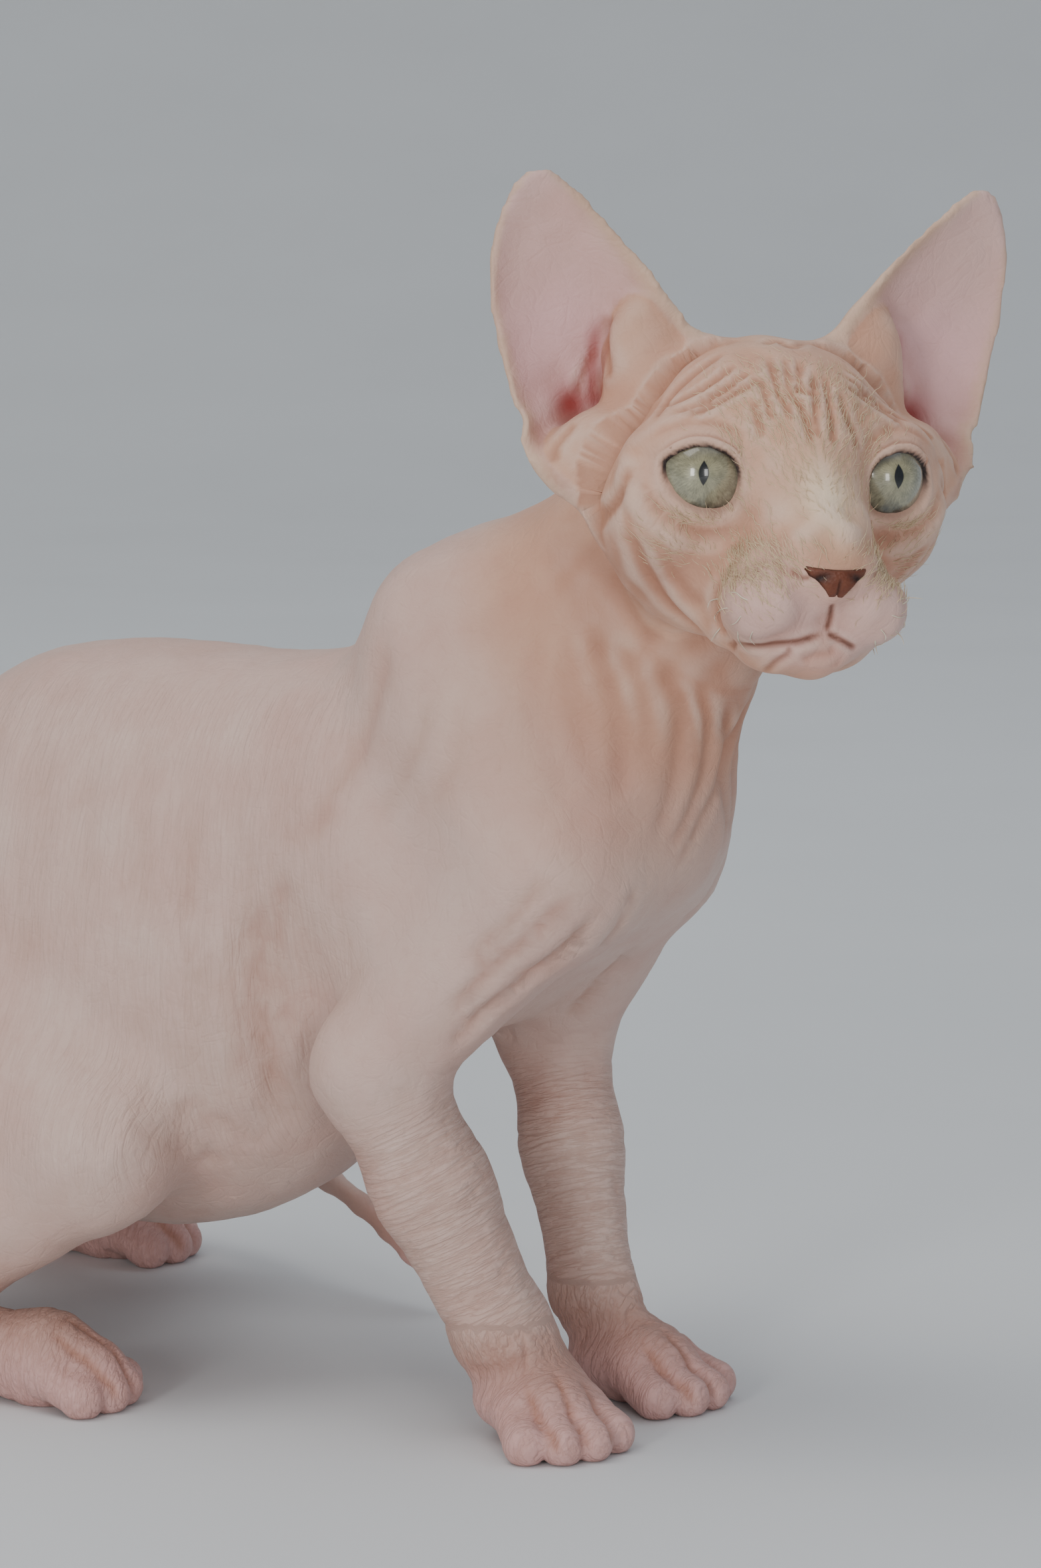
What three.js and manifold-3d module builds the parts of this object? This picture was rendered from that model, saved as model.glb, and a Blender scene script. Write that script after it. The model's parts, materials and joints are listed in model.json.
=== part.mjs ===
// A life-size model of a sphynx kitten of about four months, half crouched on its four paws,
// with its head turned to its right. Millimetres. +X runs forward along the body, +Y to the
// kitten's left and +Z up. The floor is z = 0.
//
// Each part of the flesh is a blend of rounded masses, given as a signed distance, and a loft
// or a ball is pushed out from inside until it meets that skin. Neighbours are parted by thin cuts.

import * as THREE from "three";
import { LoftGeometry } from "three/addons/geometries/LoftGeometry.js";
import { mergeVertices } from "three/addons/utils/BufferGeometryUtils.js";
import Module from "manifold-3d";

const wasm = await Module();
wasm.setup();

const V = (x, y, z) => new THREE.Vector3(x, y, z);
const degrees = THREE.MathUtils.degToRad;

// Driving dimensions
const partGap = 0.3; // between neighbouring parts
const soleSink = 0.8; // how much of each sole is pressed flat by the floor
const eyeRadius = 9.6;
const eyeHalfSpacing = 18.2;
const eyeForward = 2.4; // eyeball centres ahead of the head's origin
const eyeTurnOut = 21; // degrees that each eye looks away from the nose line
const lidThickness = 1.7;
const headPlace = V(115.9, -18.5, 200.9); // midpoint of the two eyeballs
const headTurn = { yaw: -39.5, nod: 2, roll: 3 }; // degrees
const earThickness = 2.2;
const toeRadius = 5.2;
const facetLoss = 0.12; // how far a finished surface may move when it is simplified
const headDetail = 10; // each edge of the head's ball is split this often

// Points of the skeleton, right side first
const shoulderPoint = { right: V(65, -23, 119), left: V(60, 21, 119) };
const elbow = { right: V(29, -32, 77), left: V(34, 30, 77) };
const wrist = { right: V(51.8, -19.5, 22), left: V(49, 21, 22) };
const forepawTurn = { right: -30, left: -8 };
const forepawPlace = { right: V(53.5, -15.5, 0), left: V(52, 22, 0) };
const hip = { right: V(-108, -22, 92), left: V(-108, 22, 92) };
const knee = { right: V(-36, -42, 55), left: V(-80, 47, 39) };
const heel = { right: V(-92, -56.5, 14), left: V(-159, 56, 14) };
const hindFootTurn = { right: 11, left: 14 };
const hindFootLength = 72; // from the heel to the toe tips

// Signed distances, negative inside

// A rounded cone between two balls
function limb(a, radiusA, b, radiusB) {
  const along = b.clone().sub(a);
  const lengthSquared = along.lengthSq();
  return (p) => {
    const q = p.clone().sub(a);
    const t = THREE.MathUtils.clamp(q.dot(along) / lengthSquared, 0, 1);
    return q.addScaledVector(along, -t).length() - THREE.MathUtils.lerp(radiusA, radiusB, t);
  };
}

// An ellipsoid, turned by Euler angles in degrees
function egg(centre, radii, turn = [0, 0, 0]) {
  const back = new THREE.Quaternion().setFromEuler(new THREE.Euler(...turn.map(degrees))).invert();
  return (p) => {
    const q = p.clone().sub(centre).applyQuaternion(back);
    const near = q.clone().divide(radii);
    const far = near.clone().divide(radii);
    const k = near.length();
    return k < 1e-6 ? -Math.min(radii.x, radii.y, radii.z) : (k * (k - 1)) / far.length();
  };
}

// One skin over several masses, with rounded valleys as wide as the blend
function meld(blend, ...masses) {
  return (p) =>
    masses.reduce((skin, mass) => {
      const d = mass(p);
      const h = Math.max(blend - Math.abs(skin - d), 0) / blend;
      return Math.min(skin, d) - (h * h * blend) / 4;
    }, Infinity);
}

// A soft hollow pressed into a skin
function dent(blend, skin, ...hollows) {
  return (p) =>
    hollows.reduce((body, hollow) => {
      const d = -hollow(p);
      const h = Math.max(blend - Math.abs(body - d), 0) / blend;
      return Math.max(body, d) + (h * h * blend) / 4;
    }, skin(p));
}

// How far a ray from inside runs before it leaves the skin, which may be grown outwards
function reach(skin, from, direction, grow = 0) {
  const at = (t) => skin(from.clone().addScaledVector(direction, t)) - grow;
  const shortest = 0.5;
  let inside = 0;
  let outside = shortest;
  while (at(outside) < 0) {
    inside = outside;
    outside += Math.max(shortest, -at(outside) * 0.7);
  }
  for (let i = 0; i < 14; i++) {
    const middle = (inside + outside) / 2;
    if (at(middle) < 0) inside = middle;
    else outside = middle;
  }
  return outside;
}

// A loft along a path inside the skin. Each end is closed by rings that lean over to the pole.
function hide(path, skin, rings, sides, grow = 0) {
  const curve = new THREE.CatmullRomCurve3(path);
  const lean = [78, 60, 42, 24];
  const stations = [
    ...lean.map((angle) => [0, -angle]),
    ...Array.from({ length: rings }, (_, i) => [i / (rings - 1), 0]),
    ...lean.toReversed().map((angle) => [1, angle]),
  ];
  const sections = stations.map(([t, angle]) => {
    const centre = curve.getPointAt(t);
    const ahead = curve.getTangentAt(t);
    const side = V(0, 0, 1).cross(ahead);
    if (side.length() < 0.2) side.set(0, 1, 0);
    side.normalize();
    const up = ahead.clone().cross(side);
    return Array.from({ length: sides }, (_, j) => {
      const turn = (j / sides) * Math.PI * 2;
      const direction = side
        .clone()
        .multiplyScalar(Math.cos(turn))
        .addScaledVector(up, Math.sin(turn))
        .multiplyScalar(Math.cos(degrees(angle)))
        .addScaledVector(ahead, Math.sin(degrees(angle)));
      return centre.clone().addScaledVector(direction, reach(skin, centre, direction, grow));
    });
  });
  return solid(new LoftGeometry(sections, { capStart: true, capEnd: true }));
}

// A ball of even triangles pushed out from its centre to the skin
function blowUp(centre, skin, detail, grow = 0) {
  const ball = mergeVertices(bare(new THREE.IcosahedronGeometry(1, detail)), 1e-4);
  const position = ball.getAttribute("position");
  const p = V(0, 0, 0);
  for (let i = 0; i < position.count; i++) {
    p.fromBufferAttribute(position, i).normalize();
    p.multiplyScalar(reach(skin, centre, p.clone(), grow)).add(centre);
    position.setXYZ(i, p.x, p.y, p.z);
  }
  return solid(ball);
}

function bare(geometry) {
  const only = new THREE.BufferGeometry();
  only.setAttribute("position", geometry.getAttribute("position"));
  only.setIndex(geometry.index);
  return only;
}

function solid(geometry) {
  const merged = mergeVertices(bare(geometry), 1e-4);
  return new wasm.Manifold(
    new wasm.Mesh({
      numProp: 3,
      vertProperties: new Float32Array(merged.getAttribute("position").array),
      triVerts: new Uint32Array(merged.index.array),
    }),
  );
}

// Turns a geometry by Euler angles in degrees and moves it
function placed(geometry, at, turn = [0, 0, 0]) {
  const quaternion = new THREE.Quaternion().setFromEuler(new THREE.Euler(...turn.map(degrees), "ZYX"));
  return geometry.applyMatrix4(new THREE.Matrix4().compose(at, quaternion, V(1, 1, 1)));
}

const ellipsoid = (at, radii, turn = [0, 0, 0], across = 14, down = 10) =>
  solid(placed(new THREE.SphereGeometry(1, across, down).scale(...radii), at, turn));

const block = (at, size, turn = [0, 0, 0]) => solid(placed(new THREE.BoxGeometry(...size), at, turn));

const join = (solids) => solids.reduce((all, next) => all.add(next));

const largest = (body) => body.decompose().reduce((a, b) => (b.volume() > a.volume() ? b : a));

// A round tube along a path, closed at both ends
function tube(points, radius, steps, closed = false) {
  const ring = new THREE.Shape().absarc(0, 0, radius, 0, Math.PI * 2);
  const curve = new THREE.CatmullRomCurve3(points, closed);
  return solid(new THREE.ExtrudeGeometry(ring, { steps, extrudePath: curve, curveSegments: 3 }));
}

// Materials
const skinPink = { color: 0xd9b3a3, roughness: 0.62, metalness: 0 };
const earPink = { color: 0xd99f95, roughness: 0.55, metalness: 0 };
const noseBrown = { color: 0x8a4438, roughness: 0.45, metalness: 0 };
const irisGreen = { color: 0x9aa083, roughness: 0.08, metalness: 0 };

function part(name, body, look) {
  const mesh = largest(body.simplify(facetLoss)).getMesh();
  const geometry = new THREE.BufferGeometry();
  geometry.setAttribute("position", new THREE.BufferAttribute(mesh.vertProperties, 3));
  geometry.setIndex(new THREE.BufferAttribute(mesh.triVerts, 1));
  geometry.computeVertexNormals();
  const made = new THREE.Mesh(geometry, new THREE.MeshStandardMaterial(look));
  made.name = name;
  return made;
}

// Head, in its own frame: x towards the nose, y to its left, z up from the line of the eyes
const across = (p, side) => V(p.x, p.y * side, p.z);
const eyeAim = (side) =>
  V(Math.cos(degrees(eyeTurnOut)), side * Math.sin(degrees(eyeTurnOut)), 0.04).normalize();
const bothSides = (make) => [make(-1), make(1)];

const headSkin = (() => {
  const skull = meld(
    9,
    egg(V(-14, 0, 5), V(29, 26, 22)),
    egg(V(-32, 0, -6), V(17, 19, 19)),
    ...bothSides((s) => egg(V(-8, 20.5 * s, -9), V(16, 14, 13.5))),
    ...bothSides((s) => limb(V(-14, 15 * s, -20), 10, V(10, 8 * s, -28), 7)),
    egg(V(12, 0, -18), V(17, 14, 12)),
  );
  const orbits = bothSides((s) => egg(V(0.5, (eyeHalfSpacing + 1.6) * s, -0.4), V(12.4, 13.4, 12.2)));
  const bridge = bothSides((s) => limb(V(4, 2.6 * s, 5), 8.6, V(22, 2.2 * s, -12.5), 6.1));
  const face = meld(5, skull, ...orbits, ...bridge);
  const pads = bothSides((s) => egg(V(19, 9.8 * s, -24), V(9.5, 9.4, 8)));
  const chin = egg(V(14, 0, -31.5), V(11, 12.5, 6.6), [0, -8, 0]);
  const muzzle = meld(3, face, ...pads, chin);
  const nosePad = egg(V(26.5, 0, -18), V(4.4, 6.4, 4.2), [0, 25, 0]);
  const innerCorners = bothSides((s) => egg(V(14.5, 9.6 * s, -3.5), V(4, 2.2, 4.5)));
  return dent(4, meld(2, muzzle, nosePad), ...innerCorners);
})();

// The point of the face that a straight look from in front meets
function onFace(y, z, lift = 0) {
  const start = V(0, y * 0.6, z * 0.9);
  const aim = V(26, y, z).sub(start).normalize();
  return start.clone().addScaledVector(aim, reach(headSkin, start, aim) + lift);
}

function lidOpening(side) {
  // An almond: the inner corner lies lower and nearer the nose
  const opening = new THREE.Shape();
  opening.moveTo(-8.8, -2.4);
  opening.quadraticCurveTo(-3.8, 6.6, 1.5, 6.4);
  opening.quadraticCurveTo(6.4, 6.2, 8.8, 2.2);
  opening.quadraticCurveTo(6.2, -5.4, 0, -6.1);
  opening.quadraticCurveTo(-5.6, -6.2, -8.8, -2.4);
  const prism = new THREE.ExtrudeGeometry(opening, { depth: 14, bevelEnabled: false, curveSegments: 7 });
  // The shape's x runs from the nose outwards and its normal looks out of the eye
  const aim = eyeAim(side);
  const outwards = V(0, 0, 1).cross(aim).normalize();
  const frame = new THREE.Matrix4().makeBasis(outwards, aim.clone().cross(outwards), aim);
  if (side < 0) prism.scale(-1, 1, 1);
  prism.applyMatrix4(frame).translate(...eyeCentre(side).addScaledVector(aim, 5.2).toArray());
  if (side < 0) flip(prism);
  return solid(prism);
}

// Turns every face of a mirrored geometry the right way round again
function flip(geometry) {
  const merged = mergeVertices(bare(geometry), 1e-4);
  const index = merged.index.array;
  for (let i = 0; i < index.length; i += 3) [index[i + 1], index[i + 2]] = [index[i + 2], index[i + 1]];
  geometry.copy(merged);
}

const eyeCentre = (side) => V(eyeForward, eyeHalfSpacing * side, 0);
const eyeBall = (side, grow = 0) =>
  ellipsoid(eyeCentre(side), Array(3).fill(eyeRadius + grow), [0, 0, eyeTurnOut * side], 14, 10);

function mouthCuts() {
  const split = [onFace(0, -23), onFace(0, -26), onFace(0, -29.2)];
  const lips = bothSides((s) => [
    onFace(0, -29.2),
    onFace(4 * s, -30.8),
    onFace(8 * s, -31.8),
    onFace(12.5 * s, -31.6),
    onFace(17 * s, -29.6),
  ]);
  const nostrils = bothSides((s) =>
    ellipsoid(onFace(4 * s, -18, 0.2), [2.4, 1.6, 1.0], [24 * s, 0, 0], 10, 6),
  );
  return join([tube(split, 0.6, 6), ...lips.map((line) => tube(line, 0.75, 12)), ...nostrils]);
}

const headCentre = V(-6, 0, -5);
const headFrame = new THREE.Group();
headFrame.position.copy(headPlace);
headFrame.rotation.set(degrees(-headTurn.roll), degrees(-headTurn.nod), degrees(headTurn.yaw), "ZYX");
headFrame.updateMatrixWorld(true);

// Moves a solid from the head's frame to the body's
function fromHead(body) {
  return body.transform(headFrame.matrixWorld.elements);
}

// An ear is a deep gutter: each section is a thick arc, open forwards
function ear(side, thickness) {
  const rows = 11;
  const points = 9;
  const edge = (points) => new THREE.CatmullRomCurve3(points.map(([x, y, z]) => V(x, y * side, z)));
  const inner = edge(earEdge.inner);
  const outer = edge(earEdge.outer);
  const sections = [];
  for (let i = 0; i < rows; i++) {
    const t = i / (rows - 1);
    const a = inner.getPoint(t);
    const b = outer.getPoint(t);
    const width = a.distanceTo(b);
    const depth = width * THREE.MathUtils.lerp(0.42, 0.12, Math.sqrt(t));
    const back = V(-1, -0.25 * side, -0.15).normalize();
    const arc = (offset) =>
      Array.from({ length: points }, (_, j) => {
        const s = (j / (points - 1)) * 2 - 1;
        const bow = Math.pow(1 - Math.pow(Math.abs(s), 2.4), 0.75);
        return a.clone().lerp(b, (s + 1) / 2).addScaledVector(back, depth * bow + offset);
      });
    const front = arc(0);
    const rear = arc(thickness).toReversed();
    sections.push(side < 0 ? [...front, ...rear].toReversed() : [...front, ...rear]);
  }
  return solid(new LoftGeometry(sections, { capStart: true, capEnd: true }));
}

// Edges of an ear from the root to the tip, in the head's frame, for the left side
const earEdge = {
  inner: [
    [-9, 11, 19],
    [-12, 15.6, 27.5],
    [-13, 24, 38.2],
    [-14, 34.2, 48.8],
    [-14.5, 43.6, 56.6],
    [-15, 46.6, 58],
  ],
  outer: [
    [-8, 35, -9],
    [-14, 46.5, 1],
    [-19, 51, 18],
    [-20, 54.8, 36],
    [-17, 52.8, 52],
    [-15, 48.4, 57.8],
  ],
};

function buildHead() {
  const skull = blowUp(headCentre, headSkin, headDetail);
  const grown = blowUp(headCentre, headSkin, headDetail, partGap);
  const openings = join(bothSides((s) => eyeBall(s, partGap).add(lidOpening(s)))).add(mouthCuts());
  const noseArea = (grow) =>
    ellipsoid(V(31, 0, -19.2), [6 + grow, 6.8 + grow, 4.1 + grow], [0, 20, 0], 18, 12);
  headFrame.add(part("head", skull.subtract(openings).subtract(noseArea(partGap)), skinPink));
  headFrame.add(part("nose", skull.intersect(noseArea(0)).subtract(openings), noseBrown));
  for (const [side, name] of [[-1, "right"], [1, "left"]]) {
    headFrame.add(part("eye_" + name, eyeBall(side), irisGreen));
    headFrame.add(part("ear_" + name, ear(side, earThickness).subtract(grown), earPink));
  }
  return fromHead(grown);
}

// Trunk with the shoulders, upper arms and thighs that lie on it
const trunkSkin = meld(
  14,
  egg(V(-50, 0, 92), V(72, 45, 62.5)),
  egg(V(-116, 0, 77), V(45, 38, 53)),
  limb(V(28, 0, 112), 33, V(65, 0, 130), 25),
  egg(V(46, 0, 147), V(36, 25, 40)),
  limb(V(-64, 0, 123), 29.5, V(10, 0, 126), 33),
  meld(
    8,
    ...["right", "left"].flatMap((side) => {
      const s = side === "right" ? -1 : 1;
      return [
        limb(V(34, 15 * s, 166), 14, shoulderPoint[side], 16),
        limb(shoulderPoint[side], 15.5, elbow[side], 11.8),
      ];
    }),
  ),
  meld(8, ...["right", "left"].map((side) => limb(hip[side], 32, knee[side], 18))),
);
const trunkPath = [
  V(-140, 0, 72),
  V(-110, 0, 80),
  V(-60, 0, 92),
  V(-10, 0, 104),
  V(36, 0, 124),
  V(66, 0, 132),
];
const neckSkin = meld(
  10,
  limb(V(46, 0, 150), 32, V(80, 1, 184), 23),
  limb(V(60, 0, 140), 29, V(86, -3, 168), 17),
);
const neckPath = [V(52, 0, 148), V(70, 0, 162), V(86, 0, 176), V(94, -2, 182)];

function buildTrunk(cat, headGrown) {
  const trunk = hide(trunkPath, trunkSkin, 20, 28);
  const grown = hide(trunkPath, trunkSkin, 20, 28, partGap);
  const neck = hide(neckPath, neckSkin, 5, 22).subtract(grown).subtract(headGrown);
  cat.add(part("neck", neck, skinPink));
  let torso = trunk;
  for (const side of ["right", "left"]) {
    const s = side === "right" ? -1 : 1;
    const regions = [
      ["upper_arm_" + side, V(48, 44 * s, 124), [44, 26, 62], [0, 22, -8 * s]],
      ["thigh_" + side, V((hip[side].x + knee[side].x) / 2 - 2, 52 * s, 76), [62, 30, 46], [0, 16, 0]],
    ];
    for (const [name, at, radii, turn] of regions) {
      const inner = ellipsoid(at, radii, turn, 18, 12);
      const outer = ellipsoid(at, radii.map((r) => r + partGap), turn, 18, 12);
      cat.add(part(name, trunk.intersect(inner), skinPink));
      torso = torso.subtract(outer);
    }
  }
  cat.add(part("torso", torso, skinPink));
  return grown;
}

// Paws and feet, each in a frame of its own: x towards the toes, z up from the floor
function toes(front, spread, lead) {
  return [-1.5, -0.5, 0.5, 1.5].map((place) => {
    const forward = front - toeRadius - (Math.abs(place) > 1 ? lead : 0);
    return ellipsoid(
      V(forward, place * spread, toeRadius - soleSink + 0.6),
      [toeRadius * 1.45, toeRadius * 0.86, toeRadius + 0.4],
      [0, 14, place * 9],
      8,
      5,
    );
  });
}

const floorCut = () => block(V(0, 0, -25), [600, 400, 50]);

function forepaw(side) {
  const base = [
    ellipsoid(V(7, 0, 9), [15, 12.2, 8.4], [0, 12, 0], 12, 8),
    ellipsoid(V(9, 0, 3.6), [10, 8, 4.4], [0, 0, 0], 10, 6),
  ];
  return join([...base, ...toes(29, 6.6, 3.6)])
    .rotate([0, 0, forepawTurn[side]])
    .translate(forepawPlace[side].toArray());
}

function buildForelegs(cat, trunkGrown) {
  for (const side of ["right", "left"]) {
    const middle = elbow[side].clone().lerp(wrist[side], 0.45);
    const girth = side === "right" ? 1 : 0.88;
    const legSkin = meld(
      5,
      limb(elbow[side], 11.6 * girth, middle, 11.8 * girth),
      limb(middle, 11.8 * girth, wrist[side], 9.6 * girth),
      limb(wrist[side], 9.6 * girth, forepawPlace[side].clone().add(V(4, 0, 10)), 9.8 * girth),
    );
    const path = [elbow[side], middle, wrist[side], forepawPlace[side].clone().add(V(3, 0, 11))];
    const leg = hide(path, legSkin, 10, 16).add(forepaw(side)).subtract(floorCut()).subtract(trunkGrown);
    const wristHeight = 24;
    const below = block(V(0, 0, wristHeight / 2 - 20), [600, 400, wristHeight + 40]);
    const above = block(V(0, 0, wristHeight / 2 - 20 + partGap), [600, 400, wristHeight + 40]);
    cat.add(part("forearm_" + side, largest(leg).subtract(above), skinPink));
    cat.add(part("forepaw_" + side, largest(leg).intersect(below), skinPink));
  }
}

function buildHindLegs(cat, trunkGrown) {
  for (const side of ["right", "left"]) {
    const turn = hindFootTurn[side];
    const ahead = V(Math.cos(degrees(turn)), Math.sin(degrees(turn)), 0);
    const ground = heel[side].clone().setZ(0);
    const along = (distance, height) => ground.clone().addScaledVector(ahead, distance).setZ(height);
    const footSkin = meld(
      5,
      limb(along(0, 10.5), 8.2, along(6, 8.5), 8),
      limb(along(6, 8.5), 8, along(hindFootLength - 24, 9.5), 9.4),
      limb(along(hindFootLength - 24, 8.5), 9.6, along(hindFootLength - 14, 7), 8),
    );
    const footPath = [along(0, 9), along(20, 9), along(hindFootLength - 16, 8)];
    const foot = join([
      hide(footPath, footSkin, 8, 16),
      ...toes(hindFootLength - 4, 6.1, 3.2).map((toe) =>
        toe.rotate([0, 0, turn]).translate(ground.toArray()),
      ),
    ]).subtract(floorCut());
    const hock = along(1, 13);
    const shankSkin = meld(
      6,
      limb(knee[side], 15.5, hock, 8.4),
      limb(knee[side].clone().lerp(hock, 0.3), 14, hock, 7.5),
    );
    const shank = hide([knee[side], knee[side].clone().lerp(hock, 0.5), hock], shankSkin, 7, 18);
    const grownFoot = hide(footPath, footSkin, 8, 16, partGap);
    cat.add(part("hind_foot_" + side, foot, skinPink));
    cat.add(part("shank_" + side, shank.subtract(trunkGrown).subtract(grownFoot), skinPink));
  }
}

const tailPath = [
  V(-146, 2, 84),
  V(-164, 14, 70),
  V(-172, 38, 50),
  V(-160, 66, 32),
  V(-122, 80, 26),
  V(-84, 74, 29),
  V(-55, 61, 31),
  V(-31, 59, 20),
  V(-15, 57, 9),
];
const tailRadius = { root: 7.5, tip: 1.9 };

function buildTail(cat, trunkGrown) {
  const curve = new THREE.CatmullRomCurve3(tailPath);
  const rings = 31;
  const sides = 10;
  const lengths = ["root", "middle", "tip"];
  const ringAt = (i) => {
    const t = i / (rings - 1);
    const radius = THREE.MathUtils.lerp(tailRadius.root, tailRadius.tip, Math.pow(t, 0.62));
    const ahead = curve.getTangentAt(t);
    const sideways = V(0, 0, 1).cross(ahead).normalize();
    const up = ahead.clone().cross(sideways);
    return Array.from({ length: sides }, (_, j) => {
      const turn = (j / sides) * Math.PI * 2;
      return curve
        .getPointAt(t)
        .addScaledVector(sideways, Math.cos(turn) * radius)
        .addScaledVector(up, Math.sin(turn) * radius);
    });
  };
  const all = Array.from({ length: rings }, (_, i) => ringAt(i));
  const perLength = (rings - 1) / lengths.length;
  lengths.forEach((name, n) => {
    const sections = all.slice(n * perLength, (n + 1) * perLength + 1);
    const next = curve.getTangentAt(n / lengths.length).multiplyScalar(partGap);
    if (n > 0) sections[0] = sections[0].map((p) => p.clone().add(next));
    const body = solid(new LoftGeometry(sections, { capStart: true, capEnd: true }));
    cat.add(part("tail_" + name, body.subtract(trunkGrown), skinPink));
  });
}

const cat = new THREE.Group();
const headGrown = buildHead();
const trunkGrown = buildTrunk(cat, headGrown);
buildForelegs(cat, trunkGrown);
buildHindLegs(cat, trunkGrown);
buildTail(cat, trunkGrown);
cat.add(headFrame);
cat.updateMatrixWorld(true);
const extent = new THREE.Box3().setFromObject(cat, true);
const middle = extent.getCenter(V(0, 0, 0));
cat.position.set(-middle.x, -middle.y, -extent.min.z);

export default cat;
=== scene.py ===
import json
import math

import bpy
import numpy as np
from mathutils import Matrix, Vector, kdtree
from mathutils.bvhtree import BVHTree

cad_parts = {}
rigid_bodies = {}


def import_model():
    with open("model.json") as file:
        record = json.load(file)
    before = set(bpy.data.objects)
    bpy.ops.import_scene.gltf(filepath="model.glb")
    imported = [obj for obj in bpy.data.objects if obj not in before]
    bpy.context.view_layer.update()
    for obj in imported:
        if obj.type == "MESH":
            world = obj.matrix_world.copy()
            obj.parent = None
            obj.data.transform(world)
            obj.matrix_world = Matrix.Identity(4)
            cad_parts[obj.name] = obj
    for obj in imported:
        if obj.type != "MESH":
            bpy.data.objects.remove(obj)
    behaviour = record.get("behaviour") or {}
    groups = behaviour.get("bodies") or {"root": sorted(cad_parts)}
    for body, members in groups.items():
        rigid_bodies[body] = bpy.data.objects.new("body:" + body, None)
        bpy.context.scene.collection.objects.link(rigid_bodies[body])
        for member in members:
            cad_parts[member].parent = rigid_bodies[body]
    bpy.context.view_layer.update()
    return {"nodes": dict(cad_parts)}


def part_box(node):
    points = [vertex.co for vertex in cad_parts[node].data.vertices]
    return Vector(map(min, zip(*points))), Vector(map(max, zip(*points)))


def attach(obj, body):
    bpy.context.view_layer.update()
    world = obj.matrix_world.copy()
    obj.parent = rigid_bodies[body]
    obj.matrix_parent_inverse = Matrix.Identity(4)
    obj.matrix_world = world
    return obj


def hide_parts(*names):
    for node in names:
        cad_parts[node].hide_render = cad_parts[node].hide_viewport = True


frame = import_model()
print("frame loaded:", len(frame["nodes"]), "nodes")
bpy.ops.object.select_all(action="DESELECT")

# The cat is planned in millimetres: +X forward, +Y to its left, floor at 0.
# The head has a frame of its own between the eyes: x to the nose, y to its left, z up.
plan = {
    "headAt": (115.9, -18.5, 200.9),
    "headYaw": -39.5,
    "headNod": 2.0,
    "headRoll": 3.0,
    "eyeForward": 2.4,
    "eyeSpacing": 18.2,  # from the midline to each eyeball's centre
    "eyeTurnOut": 21.0,
    "eyeRadius": 9.6,
}


def turnAbout(axis, degrees):
    c, s = math.cos(math.radians(degrees)), math.sin(math.radians(degrees))
    m = np.eye(3)
    a, b = (axis + 1) % 3, (axis + 2) % 3
    m[a, a], m[a, b], m[b, a], m[b, b] = c, -s, s, c
    return m


headTurn = turnAbout(2, plan["headYaw"]) @ turnAbout(1, -plan["headNod"]) @ turnAbout(0, -plan["headRoll"])
eyeMiddle = np.mean([c for side in ("right", "left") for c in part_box("eye_" + side)], axis=0) * 1000
shift = eyeMiddle - headTurn[:, 0] * plan["eyeForward"] - np.array(plan["headAt"])


def toPlan(metres):
    return np.asarray(metres) * 1000 - shift


def toMetres(p):
    return (np.asarray(p) + shift) / 1000


def toHead(p):
    return (np.asarray(p) - plan["headAt"]) @ headTurn


def fromHead(q):
    return np.asarray(q) @ headTurn.T + plan["headAt"]


def norm(vectors):
    return np.linalg.norm(vectors, axis=1)


def mirrorOnHead(p):
    return fromHead(toHead(p) * (1, -1, 1))


def smooth(low, high, x):
    t = np.clip((x - low) / (high - low), 0, 1)
    return t * t * (3 - 2 * t)


def hump(x, width):
    return np.exp(-((x / width) ** 2))


# Rounded masses as distances in millimetres, negative inside
def limb(a, ra, b, rb):
    a, b = np.array(a, float), np.array(b, float)
    along = b - a

    def distance(p):
        t = np.clip(((p - a) @ along) / (along @ along), 0, 1)
        return norm(p - a - t[:, None] * along) - (ra + (rb - ra) * t)

    return distance


def egg(centre, radii, turn=(0, 0, 0)):
    centre, radii = np.array(centre, float), np.array(radii, float)
    back = turnAbout(0, turn[0]) @ turnAbout(1, turn[1]) @ turnAbout(2, turn[2])

    def distance(p):
        q = ((p - centre) @ back) / radii
        k = np.maximum(norm(q), 1e-6)
        return k * (k - 1) / np.maximum(norm(q / radii), 1e-6)

    return distance


def joinValues(blend, a, b):
    h = np.maximum(blend - np.abs(a - b), 0) / blend
    return np.minimum(a, b) - h * h * blend / 4


def meld(blend, *masses):
    def distance(p):
        skin = masses[0](p)
        for mass in masses[1:]:
            skin = joinValues(blend, skin, mass(p))
        return skin

    return distance


def both(make):
    return [make(-1), make(1)]


skull = meld(
    9,
    egg((-14, 0, 5), (29, 26, 22)),
    egg((-32, 0, -6), (17, 19, 19)),
    *both(lambda s: egg((-8, 20.5 * s, -9), (16, 14, 13.5))),
    *both(lambda s: limb((-14, 15 * s, -20), 10, (10, 8 * s, -28), 7)),
    egg((12, 0, -18), (17, 14, 12)),
)
face = meld(
    7,
    skull,
    *both(lambda s: egg((0.5, 19.8 * s, -0.4), (12.2, 13.2, 12.0))),
    *both(lambda s: limb((4, 2.6 * s, 5), 8.6, (22, 2.2 * s, -12.5), 6.1)),
)
muzzle = meld(
    3,
    face,
    *both(lambda s: egg((19, 9.6 * s, -24), (9.2, 8.7, 7.6))),
    egg((14, 0, -31.5), (11, 12.5, 6.6), (0, -8, 0)),
)
headMass = meld(2, muzzle, egg((26.5, 0, -18), (4.4, 6.4, 4.2), (0, 25, 0)))

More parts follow.
